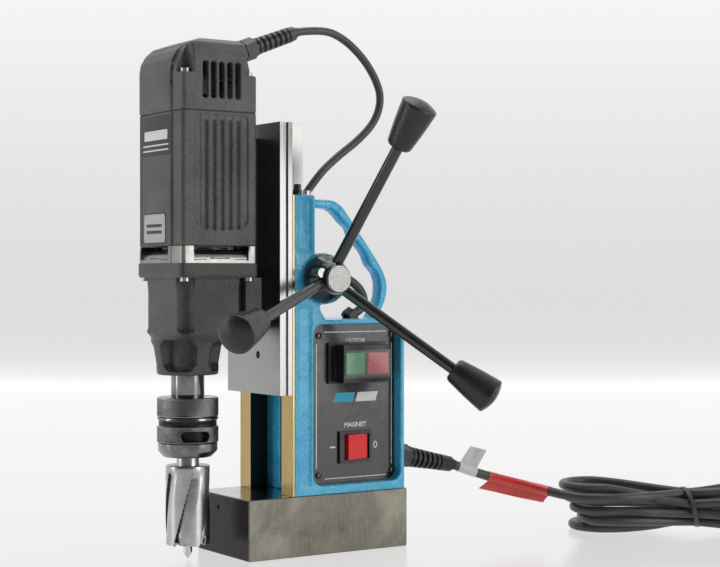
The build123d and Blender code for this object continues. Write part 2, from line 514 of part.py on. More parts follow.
def make_motor():
    ring = round_block(MOTOR_HALF_X, MOTOR_HALF_Y, MOTOR_Y, RING_BOTTOM, HOUSING_BOTTOM, MOTOR_CORNER)
    ring -= rod_z(0, MOTOR_Y, RING_BOTTOM - 1, HOUSING_BOTTOM + 1, 32.5)
    for side in (-1, 1):
        x0, x1 = sorted((side * 20, side * (MOTOR_HALF_X + 2)))
        ring -= block(x0, x1, MOTOR_Y - 24, MOTOR_Y + 24, 251.5, 259.0)
        y0, y1 = sorted((MOTOR_Y + side * 20, MOTOR_Y + side * (MOTOR_HALF_Y + 2)))
        ring -= block(-17, 17, y0, y1, 251.5, 259.0)
    save("vent_ring", ring)
    shell = round_block(MOTOR_HALF_X, MOTOR_HALF_Y, MOTOR_Y, HOUSING_BOTTOM, CAP_BOTTOM, MOTOR_CORNER)
    shell -= rod_z(0, MOTOR_Y, HOUSING_BOTTOM - 1, CAP_BOTTOM + 1, 31.5)
    panel = block(MOTOR_HALF_X - 1.1, MOTOR_HALF_X + 1, *SIDE_PANEL)
    for side in (-1, 1):
        shell -= panel if side > 0 else mirror(panel, Plane.YZ)
        for index in range(5):
            y = MOTOR_Y - 12.6 + index * 7.5
            groove = block(MOTOR_HALF_X - 2.6, MOTOR_HALF_X + 1, y - 1.1, y + 1.1, 278.0, 365.0)
            shell -= groove if side > 0 else mirror(groove, Plane.YZ)
        brush = rod_x(*sorted((side * 28, side * (MOTOR_HALF_X - 3.2))), MOTOR_Y, 357.0, 6.0)
        shell -= brush
    for x, y in FLANGE_SCREWS:
        shell -= rod_z(x, y, HOUSING_BOTTOM - 1, HOUSING_BOTTOM + 10, 2.2)
    save("motor_housing", shell)
    stator = rod_z(0, MOTOR_Y, 284.0, 344.0, 31.5) - rod_z(0, MOTOR_Y, 283, 345, 21.5)
    stator += rod_z(0, MOTOR_Y, 274.0, 284.0, 29.0) - rod_z(0, MOTOR_Y, 273, 285, 23.0)
    save("motor_stator", stator)
    brushes = []
    for side in (-1, 1):
        x0, x1 = sorted((side * 14.2, side * (MOTOR_HALF_X - 5)))
        brushes.append(rod_x(*sorted((side * 24, side * (MOTOR_HALF_X - 3.6))), MOTOR_Y, 357.0, 5.8)
                       + block(x0, x1, MOTOR_Y - 2.5, MOTOR_Y + 2.5, 353, 361))
    save("brush_holders", *brushes)


CAP_SCREWS = [(x, y) for x in (-33.5, 33.5) for y in (-133.0, -74.5)]
CAP_GLAND = (LEAD_X, -71.5, 426.0)
CAP_GLAND_WAY = (0.0, 0.934, 0.358)
CAP_WALL = 3.5


def make_cap():
    front, back = MOTOR_Y - MOTOR_HALF_Y, MOTOR_Y + MOTOR_HALF_Y
    side_cut = [(front - 1, 407), (front, 407), (front + 11, CAP_TOP - 5), (front + 24, CAP_TOP),
                (back - 11, CAP_TOP), (back - 3.5, 418), (back, 404), (back + 1, 404),
                (back + 1, CAP_BOTTOM), (front - 1, CAP_BOTTOM)]
    cap = round_block(MOTOR_HALF_X, MOTOR_HALF_Y, MOTOR_Y, CAP_BOTTOM, CAP_TOP, MOTOR_CORNER)
    cap &= profile_x(side_cut, -MOTOR_HALF_X - 1, MOTOR_HALF_X + 1)
    x = MOTOR_HALF_X
    end_cut = [(-x, CAP_BOTTOM), (x, CAP_BOTTOM), (x, CAP_TOP - 14), (x - 5, CAP_TOP - 4),
               (x - 14, CAP_TOP), (-x + 14, CAP_TOP), (-x + 5, CAP_TOP - 4), (-x, CAP_TOP - 14)]
    face = make_face(Polyline([(px, front - 1, pz) for px, pz in end_cut], close=True))
    cap &= extrude(face, back - front + 2, dir=(0, 1, 0))
    inner = round_block(MOTOR_HALF_X - CAP_WALL, MOTOR_HALF_Y - CAP_WALL, MOTOR_Y, CAP_BOTTOM - 1, 402, 6)
    cap -= inner + round_block(28, 24, MOTOR_Y, 400, CAP_TOP - 4, 8)
    cap += (rod_z(0, MOTOR_Y, 388.0, CAP_TOP - 3, 16.0) - rod_z(0, MOTOR_Y, 387.0, 400.0, 11.0))
    for side in (-1, 1):
        for index in range(5):
            y = MOTOR_Y + 1.6 + (index - 2) * 7.6
            cut = block(MOTOR_HALF_X - 15, MOTOR_HALF_X + 1, y - 2.2, y + 2.2, 383.5, 413.5)
            cap -= cut if side > 0 else mirror(cut, Plane.YZ)
    screws = []
    for x, y in CAP_SCREWS:
        corner_x, corner_y = math.copysign(MOTOR_HALF_X, x), front if y < MOTOR_Y else back
        x0, x1 = sorted((x - math.copysign(4.2, x), corner_x + math.copysign(1, x)))
        y0, y1 = sorted((y + (4.2 if y < MOTOR_Y else -4.2), corner_y + (-1 if y < MOTOR_Y else 1)))
        cap += block(*sorted((x - math.copysign(6, x), corner_x - math.copysign(4, x))),
                     *sorted((y + (6 if y < MOTOR_Y else -6), corner_y + (4 if y < MOTOR_Y else -4))),
                     396, 406)
        cap -= block(x0, x1, y0, y1, 404.0, CAP_TOP + 1)
        cap -= rod_z(x, y, 390, 405, 2.2)
        screws.append(socket_screw((x, y, 404.0), (0, 0, 1), 3.9, 3.0, 2.2, 7.8))
    for x, y in FLANGE_SCREWS:
        screws.append(socket_screw((x, y, FLANGE_BOTTOM), (0, 0, -1), 3.9, 3.0, 2.2, 11.5))
    cap -= rod(CAP_GLAND, Vector(*CAP_GLAND) - Vector(*CAP_GLAND_WAY) * 14, 5.0)
    save("motor_cap", cap)
    save("motor_screws", *screws)


# ---- glands -----------------------------------------------------------------------------------------
def make_gland(origin, way, nut_size, rib_radii, bore_r, thread_r, collar, neck):
    """A hexagon gland nut, and a sleeve of separate ribs on a thin core that tapers to the cord."""
    plane = Plane(origin=origin, z_dir=way)
    way = plane.z_dir
    start = Vector(*origin)
    seat = extrude(plane * RegularPolygon(nut_size / math.sqrt(3), 6), 5.0)
    seat += rod(start - way * 10, start, thread_r)
    seat += rod(start + way * 5.0, start + way * 6.2, nut_size * 0.45)
    nut = seat + extrude(plane.offset(6.2) * RegularPolygon(nut_size / math.sqrt(3) * 0.97, 6), 10.5)
    nut += rod(start + way * 16.7, start + way * 19.0, rib_radii[0] + 0.6)
    nut -= rod(start - way * 12, start + way * 19.0, bore_r)
    step = 5.6
    outline = [(bore_r, 0)]
    core_r = bore_r + 1.6
    position = 0.0
    for radius in rib_radii:
        outline += [(core_r, position), (core_r, position + 1.2), (radius, position + 1.5),
                    (radius, position + step - 1.0), (core_r, position + step - 0.6)]
        position += step
    end = position + collar + neck
    outline += [(core_r, position), (rib_radii[-1], position + 0.6), (rib_radii[-1] - 0.6, position + collar),
                (bore_r + 0.8, position + collar + 0.6), (bore_r + 0.6, end), (bore_r, end)]
    return nut, outline, start + way * 19.0, end


def make_cap_gland():
    ribs = [7.2, 7.1, 7.0, 6.9, 6.8, 6.7]
    nut, outline, foot, length = make_gland(CAP_GLAND, CAP_GLAND_WAY, 17.0, ribs, LEAD_D / 2, 5.0, 7.0, 4.5)
    sleeve = turned(outline, foot, CAP_GLAND_WAY)
    save("gland_nut", nut)
    save("gland_sleeve", sleeve)
    end = foot + Vector(*CAP_GLAND_WAY).normalized() * length
    return foot, end


def make_mains_gland():
    ribs = [9.0, 8.7, 8.4, 8.1, 7.8, 7.5]
    way = (Vector(*MAINS_CORD[0]) - Vector(GLAND_X, CAST_BACK - 0.4, GLAND_Z)).normalized()
    base = Vector(GLAND_X, CAST_BACK - 0.4, GLAND_Z)
    collar = rod_y(GLAND_X, CAST_BACK - 10, CAST_BACK - 0.4, GLAND_Z, 6.0)
    collar_length, sleeve_start, ribs_length = 14.0, 20.0, 33.6
    neck = (Vector(*MAINS_CORD[0]) - base).length - sleeve_start - ribs_length - collar_length
    nut, outline, foot, length = make_gland(base + way * 1.0, way, 19.0, ribs, MAINS_D / 2, 4.2,
                                            collar_length, neck)
    nut -= block(-10, 60, 40, CAST_BACK - 0.4, 50, 100)
    nut += rod_y(GLAND_X, CAST_BACK - 0.4, CAST_BACK + 1.5, GLAND_Z, 9.5) + collar
    nut -= rod(base - way * 30, base + way * 60, MAINS_D / 2)
    save("mains_gland", nut + turned(outline, foot, way))
    print("mains gland ends at", foot + way * length, "neck", round(neck, 1))


# ---- rotating parts ---------------------------------------------------------------------------------
STAGE1_Z, STAGE2_Z = (227.0, 234.0), (206.0, 222.0)


def gear_phases():
    """A tooth of each driver points at a gap of the gear it drives."""
    to_idler = math.degrees(math.atan2(IDLER_Y - MOTOR_Y, IDLER_X))
    motor_phase = to_idler
    idler_big = to_idler + 180 + 180 / STAGE1_GEAR
    to_spindle = math.degrees(math.atan2(SPINDLE_Y - IDLER_Y, -IDLER_X))
    idler_small = to_spindle
    spindle_phase = to_spindle + 180 + 180 / STAGE2_GEAR
    return motor_phase, idler_big, idler_small, spindle_phase


def make_rotor():
    motor_phase = gear_phases()[0]
    shaft = rod_z(0, MOTOR_Y, 235.0, 399.0, 5.0)
    shaft += gear_z(STAGE1_MODULE, STAGE1_PINION, 0, MOTOR_Y, STAGE1_Z[0] - 0.5, 235.5, motor_phase)
    shaft += rod_z(0, MOTOR_Y, 286.0, 342.0, 20.5)
    shaft += rod_z(0, MOTOR_Y, 280.0, 348.0, 15.0)
    shaft += rod_z(0, MOTOR_Y, 350.0, 366.0, 14.0)
    save("armature", shaft)
    fan = rod_z(0, MOTOR_Y, 250.0, 261.0, 9.0) + rod_z(0, MOTOR_Y, 259.5, 261.0, 30.0)
    for index in range(12):
        blade = Rot(0, 0, 30 * index) * Pos(19.0, 0, 254.9) * Box(22, 1.4, 9.4)
        fan += Pos(0, MOTOR_Y, 0) * blade
    fan -= rod_z(0, MOTOR_Y, 249.0, 262.0, 5.0)
    save("cooling_fan", fan)


def make_idler():
    _, big_phase, small_phase, _ = gear_phases()
    gear = gear_z(STAGE1_MODULE, STAGE1_GEAR, IDLER_X, IDLER_Y, *STAGE1_Z, big_phase)
    gear += gear_z(STAGE2_MODULE, STAGE2_PINION, IDLER_X, IDLER_Y, STAGE2_Z[0] - 2, STAGE2_Z[1] + 2,
                   small_phase)
    gear += rod_z(IDLER_X, IDLER_Y, 194.4, 235.5, 3.4)
    save("intermediate_gear", gear)


PILOT_BORE_R, PIN_TOP, SPRING_TOP = 4.6, 113.0, 186.0


def knurled(radius, z0, z1, depth=0.5, count=72):
    """A ring with upright serrations, which stand for the cross knurl."""
    points = []
    for index in range(count):
        for share, r in ((0.0, radius), (0.5, radius - depth)):
            angle = 2 * math.pi * (index + share) / count
            points.append((r * math.cos(angle), SPINDLE_Y + r * math.sin(angle)))
    return profile_z(points, z0, z1)


def make_spindle():
    phase = gear_phases()[3]
    spindle = gear_z(STAGE2_MODULE, STAGE2_GEAR, 0, SPINDLE_Y, *STAGE2_Z, phase)
    spindle += rod_z(0, SPINDLE_Y, 195.5, 225.5, 10.0)
    spindle += rod_z(0, SPINDLE_Y, 112.0, 195.5, SPINDLE_R)
    spindle -= rod_z(0, SPINDLE_Y, 111.0, SPRING_TOP, PILOT_BORE_R)
    save("spindle", spindle)
    body = rod_z(0, SPINDLE_Y, 86.3, 98.0, 25.0) & turned(
        [(0, 86.3), (20.5, 86.3), (25.0, 91.4), (25.0, 98.0), (0, 98.0)], (0, SPINDLE_Y, 0), (0, 0, 1))
    body += rod_z(0, SPINDLE_Y, 98.0, 136.0, 19.5)
    body += knurled(25.8, 120.0, 136.0)
    body -= rod_z(0, SPINDLE_Y, 112.0, 137.0, SPINDLE_R)
    body -= rod_z(0, SPINDLE_Y, 86.0, 112.5, 9.53)
    save("chuck_body", body)
    sleeve = knurled(25.8, 98.3, 112.3) + rod_z(0, SPINDLE_Y, 112.3, 119.7, 24.9)
    sleeve -= rod_z(0, SPINDLE_Y, 98.0, 120.0, 19.55)
    for turn in (-12, 168):
        sleeve -= Pos(0, SPINDLE_Y, 0) * Rot(0, 0, turn) * block(10, 30, -12.5, 12.5, 100.5, 107.8)
    save("chuck_sleeve", sleeve)


CUTTER_R, CUTTER_BORE_R, CUTTER_TOP, CUTTER_BOTTOM = 18.5, 14.0, 79.0, 12.0
SHANK_R = 9.525
FLUTES, FIRST_FLUTE, HELIX = 5, 4.1, 0.875     # flute angles in degrees, and degrees per millimetre


def make_cutter():
    body = rod_z(0, SPINDLE_Y, CUTTER_BOTTOM, CUTTER_TOP, CUTTER_R)
    body = chamfer(body.faces().sort_by(Axis.Z)[-1].edges(), 2.0)
    body -= rod_z(0, SPINDLE_Y, CUTTER_BOTTOM - 1, CUTTER_TOP - 12, CUTTER_BORE_R)
    body += rod_z(0, SPINDLE_Y, CUTTER_TOP - 1, 110.0, SHANK_R)
    body -= rod_z(0, SPINDLE_Y, CUTTER_BOTTOM, 111.0, 4.15)
    for index in range(FLUTES):
        angle = FIRST_FLUTE + 360 / FLUTES * index
        gullet = Pos(0, SPINDLE_Y, 0) * Rot(0, 0, angle + 7) * block(CUTTER_BORE_R - 1, CUTTER_R + 1, -2, 2,
                                                                      CUTTER_BOTTOM - 1, CUTTER_BOTTOM + 4)
        body -= gullet
        for step in range(7):
            turn = angle + 6 + (step + 0.5) * 8 * HELIX
            z0 = CUTTER_BOTTOM + 1 + step * 8
            channel = block(CUTTER_R - 1.6, CUTTER_R + 1, -1.8, 1.8, z0, z0 + 8.0)
            body -= Pos(0, SPINDLE_Y, 0) * Rot(0, 0, turn) * channel
    save("annular_cutter", body)


def make_pilot():
    pin = turned([(0, 0.3), (1.2, 1.6), (3.75, 5.5), (3.75, 12.5), (4.1, 13.0), (4.1, PIN_TOP), (0, PIN_TOP)],
                 (0, SPINDLE_Y, 0), (0, 0, 1))
    spring = rod_z(0, SPINDLE_Y, PIN_TOP, SPRING_TOP, 4.3) - rod_z(0, SPINDLE_Y, PIN_TOP - 1, SPRING_TOP + 1, 3.1)
    save("pilot_pin", pin)
    save("pilot_spring", spring)


# ---- leads ------------------------------------------------------------------------------------------
def make_motor_lead(sleeve_end):
    route = [tuple(sleeve_end)] + MOTOR_LEAD[1:]
    save("motor_lead", cord_tube("motor_lead", route, LEAD_D))


def make_mains_lead():
    save("mains_cord", cord_tube("mains_cord", MAINS_CORD, MAINS_D))
    start, end = Vector(*HANK_START, HANK_R), Vector(*HANK_END, HANK_R)
    way = (end - start).normalized()
    length = (end - start).length
    outline = [(0, 0), (12, 2.5), (20, 9), (HANK_R, 24), (HANK_R, 38), (21.5, 75), (HANK_TIE_R, length / 2 - 8),
               (HANK_TIE_R, length / 2 + 8), (21.5, length - 75), (HANK_R, length - 38),
               (HANK_R, length - 24), (20, length - 9), (12, length - 2.5), (0, length)]
    place = Pos(start.X, start.Y, start.Z) * Rot(0, 0, math.degrees(math.atan2(way.Y, way.X)))
    save("cord_hank", place * scale(turned(outline, (0, 0, 0), (1, 0, 0)), (1, HANK_WIDEN, 1)))
    middle = length / 2
    tie = rod_x(middle - 5, middle + 5, 0, 0, HANK_TIE_R + 1.6) - rod_x(middle - 6, middle + 6, 0, 0, HANK_TIE_R)
    save("cord_tie", place * scale(tie, (1, HANK_WIDEN, 1)))
    make_plug(way, end)


PLUG_LENGTH, PLUG_R = 62.0, 21.0


def make_plug(way, hank_end):
    """A round-bodied three-pin plug that lies beside the hank's far half."""
    side = Vector(-way.Y, way.X, 0)
    foot = hank_end - way * 88 + side * (HANK_R * HANK_WIDEN + PLUG_R + 4)
    foot = Vector(foot.X, foot.Y, PLUG_R)
    body = turned([(0, 0), (6.5, 0), (8.0, 14), (14.0, 20), (18.0, 30), (PLUG_R, 36), (PLUG_R, 58),
                   (19.5, PLUG_LENGTH), (0, PLUG_LENGTH)], foot, way)
    for turn in (90, 210, 330):
        angle = math.radians(turn)
        offset = side * (10.5 * math.cos(angle)) + Vector(0, 0, 10.5 * math.sin(angle))
        body += rod(foot + way * (PLUG_LENGTH - 1) + offset, foot + way * (PLUG_LENGTH + 20) + offset, 2.4)
    save("mains_plug", body)
    print("plug from", foot, "to", foot + way * (PLUG_LENGTH + 20))


make_base()
make_casting()
make_handle()
make_guides()
make_column_fittings()
make_panel()
make_motor_switch()
print("rocker pivot", make_magnet_switch())
make_board()
make_feed()
make_slide()
make_bracket()
make_gearbox()
make_motor()
make_cap()
sleeve_foot, sleeve_end = make_cap_gland()
print("cap gland sleeve from", sleeve_foot, "to", sleeve_end)
make_mains_gland()
make_rotor()
make_idler()
make_spindle()
make_cutter()
make_pilot()
make_motor_lead(sleeve_end)
make_mains_lead()
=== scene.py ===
# Looks of the magnetic drill press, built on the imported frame. Metres, +Z up.
import json
from math import atan2, copysign, cos, degrees, hypot, pi, radians, sin, sqrt

import bmesh
import bpy
import numpy as np
from mathutils import Matrix, Vector

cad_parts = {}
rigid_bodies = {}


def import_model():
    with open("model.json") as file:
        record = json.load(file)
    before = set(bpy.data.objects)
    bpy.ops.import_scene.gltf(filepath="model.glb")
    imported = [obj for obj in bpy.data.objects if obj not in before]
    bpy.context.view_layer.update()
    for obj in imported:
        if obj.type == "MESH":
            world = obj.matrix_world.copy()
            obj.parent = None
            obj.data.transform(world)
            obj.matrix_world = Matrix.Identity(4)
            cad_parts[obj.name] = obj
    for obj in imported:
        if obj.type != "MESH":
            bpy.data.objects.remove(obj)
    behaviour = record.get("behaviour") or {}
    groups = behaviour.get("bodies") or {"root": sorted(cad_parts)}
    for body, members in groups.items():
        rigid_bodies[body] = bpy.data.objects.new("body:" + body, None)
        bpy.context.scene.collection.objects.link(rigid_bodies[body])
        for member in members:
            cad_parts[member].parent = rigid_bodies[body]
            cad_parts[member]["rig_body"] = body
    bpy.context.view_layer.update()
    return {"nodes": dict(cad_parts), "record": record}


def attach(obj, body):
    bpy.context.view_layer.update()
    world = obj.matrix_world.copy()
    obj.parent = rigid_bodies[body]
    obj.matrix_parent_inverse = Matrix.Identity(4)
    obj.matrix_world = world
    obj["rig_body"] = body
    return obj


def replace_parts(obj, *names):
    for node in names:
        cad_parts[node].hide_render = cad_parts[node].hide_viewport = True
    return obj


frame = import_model()
NODES = frame["nodes"]
MM = 0.001


def v3(x, y, z):
    return Vector((x, y, z)) * MM


# ---- meshes ----
def link(name, mesh, body, material=None, smooth=True, sharp=35.0):
    """Makes mesh an object that rides on body, with shading that is smooth up to the sharp angle."""
    if smooth:
        mesh.shade_smooth()
        mesh.set_sharp_from_angle(angle=radians(sharp))
    piece = bpy.data.objects.new(name, mesh)
    bpy.context.scene.collection.objects.link(piece)
    if material:
        mesh.materials.clear()
        mesh.materials.append(material)
    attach(piece, body)
    return piece


def mesh_from(name, bm):
    bmesh.ops.recalc_face_normals(bm, faces=bm.faces)
    mesh = bpy.data.meshes.new(name)
    bm.to_mesh(mesh)
    bm.free()
    return mesh


def turns(steps):
    return [2 * pi * i / steps for i in range(steps)]


def skin(name, rings, around=False):
    """Faces between rings of equal point counts, with its two ends capped, or joined to each other."""
    bm = bmesh.new()
    rows = [[bm.verts.new(p) for p in ring] for ring in rings]
    for low, high in zip(rows, rows[1:] + rows[:1] if around else rows[1:]):
        for corners in zip(low, low[1:] + low[:1], high[1:] + high[:1], high):
            bm.faces.new(corners)
    if not around:
        bm.faces.new(rows[0])
        bm.faces.new(rows[-1][::-1])
    return mesh_from(name, bm)


def lathe(name, profile, origin, axis, steps=64, radius_at=None, around=False):
    """Turns (radius, height) pairs, in millimetres, about an axis. radius_at(radius, turn, height) shapes it."""
    rotation = Vector((0, 0, 1)).rotation_difference(Vector(axis).normalized()).to_matrix()
    rings = []
    for radius, height in profile:
        ring = []
        for turn in turns(steps):
            r = radius_at(radius, turn, height) if radius_at else radius
            ring.append(rotation @ v3(r * cos(turn), r * sin(turn), height) + Vector(origin) * MM)
        rings.append(ring)
    return skin(name, rings, around)


def curve_mesh(curve):
    """The mesh of a curve that isn't needed afterwards."""
    probe = bpy.data.objects.new("probe", curve)
    mesh = bpy.data.meshes.new_from_object(probe)
    bpy.data.objects.remove(probe)
    bpy.data.curves.remove(curve)
    return mesh


def read_points(mesh):
    """A mesh's points as three rows, x, y and z, in millimetres."""
    points = np.empty(len(mesh.vertices) * 3)
    mesh.vertices.foreach_get("co", points)
    return points.reshape(-1, 3).T * 1000


def write_points(mesh, rows):
    mesh.vertices.foreach_set("co", (np.stack(rows, 1) / 1000).ravel())
    mesh.update()


FLAT, SHARP = radians(0.6), radians(28.0)     # turns between faces: none to speak of, and an edge


def softened(node, width=0.5, segments=2, material=None):
    """A copy of a CAD node with its edges rounded, which replaces it. Its plane faces stay flat-shaded."""
    source = NODES[node]
    bm = bmesh.new()
    bm.from_mesh(source.data)
    bmesh.ops.remove_doubles(bm, verts=bm.verts, dist=2e-6)
    bmesh.ops.dissolve_limit(bm, angle_limit=FLAT, verts=bm.verts, edges=bm.edges)
    for face in bm.faces:
        bends = [e.calc_face_angle(0) for e in face.edges if len(e.link_faces) == 2]
        face.smooth = any(FLAT < t < SHARP for t in bends)
    edges = [e for e in bm.edges if len(e.link_faces) == 2 and e.calc_face_angle(0) > SHARP]
    made = bmesh.ops.bevel(bm, geom=edges, offset=width * MM, segments=segments, profile=0.5, affect="EDGES",
                           clamp_overlap=True, harden_normals=False)
    for face in made["faces"]:
        face.smooth = True
    mesh = mesh_from(node + "_soft", bm)
    piece = link(node + "_shape", mesh, NODES[node]["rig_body"], material, smooth=False)
    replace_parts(piece, node)
    return piece


SLOT_OF = {row["node"]: row["material_slot"] for row in frame["record"]["subparts"]}


def faced(piece, choose, *materials):
    """Gives each face the material that choose(normal, centre in millimetres) names by number."""
    for material in materials:
        piece.data.materials.append(material)
    for face in piece.data.polygons:
        face.material_index = choose(face.normal, face.center * 1000)


# ---- materials ----
class Shader:
    """A principled material with helpers that add procedural colour, roughness and bump."""

    def __init__(self, name, **values):
        self.material = bpy.data.materials.new(name)
        self.material.use_nodes = True
        self.tree = self.material.node_tree
        self.shader = self.tree.nodes["Principled BSDF"]
        self.coordinates = self.tree.nodes.new("ShaderNodeTexCoord").outputs["Object"]
        self.height = None
        for key, value in values.items():
            self.shader.inputs[key.replace("_", " ")].default_value = value

    def new(self, kind, **settings):
        node = self.tree.nodes.new(kind)
        for key, value in settings.items():
            setattr(node, key, value)
        return node

    def join(self, output, socket):
        self.tree.links.new(output, socket)

    def stretched(self, scale):
        mapping = self.new("ShaderNodeMapping")
        mapping.inputs["Scale"].default_value = scale
        self.join(self.coordinates, mapping.inputs["Vector"])
        return mapping.outputs["Vector"]

    def noise(self, scale, detail=4.0, rough=0.55, stretch=(1, 1, 1), distortion=0.0):
        node = self.new("ShaderNodeTexNoise")
        node.inputs["Scale"].default_value = scale
        node.inputs["Detail"].default_value = detail
        node.inputs["Roughness"].default_value = rough
        node.inputs["Distortion"].default_value = distortion
        self.join(self.stretched(stretch), node.inputs["Vector"])
        return node.outputs["Fac"]

    def cells(self, scale):
        node = self.new("ShaderNodeTexVoronoi", feature="SMOOTH_F1")
        node.inputs["Scale"].default_value = scale
        node.inputs["Smoothness"].default_value = 0.4
        self.join(self.stretched((1, 1, 1)), node.inputs["Vector"])
        return node.outputs["Distance"]

    def ramp(self, source, stops):
        node = self.new("ShaderNodeValToRGB")
        ramp = node.color_ramp
        while len(ramp.elements) < len(stops):
            ramp.elements.new(0.5)
        for element, (place, colour) in zip(ramp.elements, stops):
            element.position = place
            element.color = (*colour, 1)
        self.join(source, node.inputs["Fac"])
        return node.outputs["Color"]

    def spread(self, source, low, high, start=0.3, end=0.7):
        node = self.new("ShaderNodeMapRange")
        node.inputs["From Min"].default_value = start
        node.inputs["From Max"].default_value = end
        node.inputs["To Min"].default_value = low
        node.inputs["To Max"].default_value = high
        self.join(source, node.inputs["Value"])
        return node.outputs["Result"]

    def mixed(self, factor, first, second):
        node = self.new("ShaderNodeMix", data_type="RGBA")
        node.inputs["Factor"].default_value = factor
        self.join(first, node.inputs[6])
        self.join(second, node.inputs[7])
        return node.outputs[2]

    def colour(self, source):
        self.join(source, self.shader.inputs["Base Color"])
        return self

    def roughness(self, source):
        self.join(source, self.shader.inputs["Roughness"])
        return self

    def bump(self, source, distance, strength=1.0):
        node = self.new("ShaderNodeBump")
        node.inputs["Strength"].default_value = strength
        node.inputs["Distance"].default_value = distance
        self.join(source, node.inputs["Height"])
        if self.height:
            self.join(self.height, node.inputs["Normal"])
        self.height = node.outputs["Normal"]
        self.join(self.height, self.shader.inputs["Normal"])
        return self


def plain(name, low, high, rough, metallic=0.0, grain=900.0, depth=0.00004, spec=0.5, coat=0.0):
    """Colour that varies in soft patches, with roughness and a fine grain."""
    s = Shader(name, Metallic=metallic, Specular_IOR_Level=spec, Coat_Weight=coat, Coat_Roughness=0.08)
    patches = s.noise(45, 5.0)
    s.colour(s.ramp(patches, [(0.3, low), (0.7, high)]))
    s.roughness(s.spread(s.noise(139.5, 4.0), rough - 0.05, rough + 0.06))
    s.bump(s.noise(grain, 3.0), depth)
    return s.material


def blue_paint():
    s = Shader("paint_blue", Specular_IOR_Level=0.45, Coat_Weight=0.35, Coat_Roughness=0.05)
    s.colour(s.ramp(s.noise(60, 5.0), [(0.3, (0.030, 0.42, 0.69)), (0.7, (0.095, 0.57, 0.86))]))
    s.roughness(s.spread(s.noise(240, 4.0), 0.14, 0.28))
    s.bump(s.cells(420), 0.0011, 0.5)
    s.bump(s.noise(190, 3.0, 0.5), 0.0007, 0.5)
    return s.material


def base_steel():
    """Mill-scale steel: dark rims, a paler worn middle, stains and fine upright scratches."""
    s = Shader("steel_dark_worn", Metallic=0.9)
    broad = s.noise(13, 6.0, 0.62, distortion=0.8)
    stains = s.noise(75, 9.0, 0.75, distortion=0.7)
    scratches = s.noise(60, 5.0, 0.6, stretch=(14, 14, 0.5))
    worn = s.ramp(broad, [(0.30, (0.065, 0.060, 0.050)), (0.50, (0.195, 0.180, 0.145)), (0.66, (0.42, 0.39, 0.32))])
    flecks = s.ramp(stains, [(0.34, (0.045, 0.042, 0.036)), (0.52, (0.17, 0.158, 0.13)), (0.66, (0.34, 0.32, 0.27))])
    lines = s.ramp(scratches, [(0.35, (0.09, 0.085, 0.07)), (0.7, (0.24, 0.225, 0.185))])
    s.colour(s.mixed(0.3, s.mixed(0.45, worn, flecks), lines))
    s.roughness(s.spread(stains, 0.26, 0.50))
    s.bump(stains, 0.00012)
    s.bump(scratches, 0.00003)
    return s.material


def brushed(name, low, high, rough, scratch=(40, 40, 0.6), scale=60.0):
    """Metal with fine lines along one axis: scratch is the noise's stretch."""
    s = Shader(name, Metallic=1.0)
    lines = s.noise(scale, 6.0, 0.6, stretch=scratch)
    s.colour(s.ramp(lines, [(0.3, low), (0.7, high)]))
    s.roughness(s.spread(lines, rough - 0.06, rough + 0.07))
    s.bump(lines, 0.00002)
    return s.material


def turned_metal(name, low, high, rough, centre, axis, pitch):
    """Concentric lathe marks about a point: a wave by the distance from the axis."""
    s = Shader(name, Metallic=1.0)
    mapping = s.new("ShaderNodeMapping")
    mapping.inputs["Location"].default_value = [-c for c in centre]
    s.join(s.coordinates, mapping.inputs["Vector"])
    wave = s.new("ShaderNodeTexWave", wave_type="RINGS", rings_direction=axis)
    wave.inputs["Scale"].default_value = 0.314 / pitch
    wave.inputs["Distortion"].default_value = 0.4
    s.join(mapping.outputs["Vector"], wave.inputs["Vector"])
    s.colour(s.ramp(wave.outputs["Fac"], [(0.1, low), (0.9, high)]))
    s.roughness(s.spread(s.noise(300, 4.0), rough - 0.05, rough + 0.05))
    s.bump(wave.outputs["Fac"], 0.00003)
    return s.material


def clear_film():
    s = Shader("film_clear", Alpha=0.10, IOR=1.45, Roughness=0.08)
    s.shader.inputs["Base Color"].default_value = (0.93, 0.95, 0.95, 1)
    s.roughness(s.spread(s.noise(160, 3.0), 0.05, 0.2))
    s.bump(s.noise(90, 2.0), 0.0004)
    return s.material


PAINT = blue_paint()
BASE = base_steel()
BASE_TOP = plain("steel_ground_top", (0.50, 0.49, 0.47), (0.66, 0.65, 0.62), 0.16, 1.0, 400, 0.00001)
# painted shade: near-black colour for the base's front face, which faces away from the light
BASE_FRONT_SHADE = plain("steel_front_painted_shade", (0.004, 0.004, 0.004), (0.012, 0.012, 0.011), 0.3, 0.2, 500, 0.00002, 0.25)
SLIDE = brushed("aluminium_satin", (0.33, 0.33, 0.322), (0.43, 0.43, 0.42), 0.27, scratch=(40, 40, 0.3))
RING = plain("aluminium_cast", (0.26, 0.26, 0.25), (0.40, 0.40, 0.385), 0.32, 1.0, grain=500)
BRASS = brushed("brass_ground", (0.36, 0.25, 0.085), (0.55, 0.41, 0.18), 0.16, scratch=(30, 30, 0.5), scale=40.0)
STEEL = plain("steel_machined", (0.48, 0.48, 0.48), (0.66, 0.66, 0.65), 0.30, 1.0)
BRIGHT = plain("steel_bright", (0.62, 0.62, 0.61), (0.80, 0.80, 0.79), 0.14, 1.0, depth=0.00001)
CUTTER = plain("steel_cutter", (0.40, 0.40, 0.395), (0.62, 0.615, 0.60), 0.30, 1.0, grain=500, depth=0.00003)
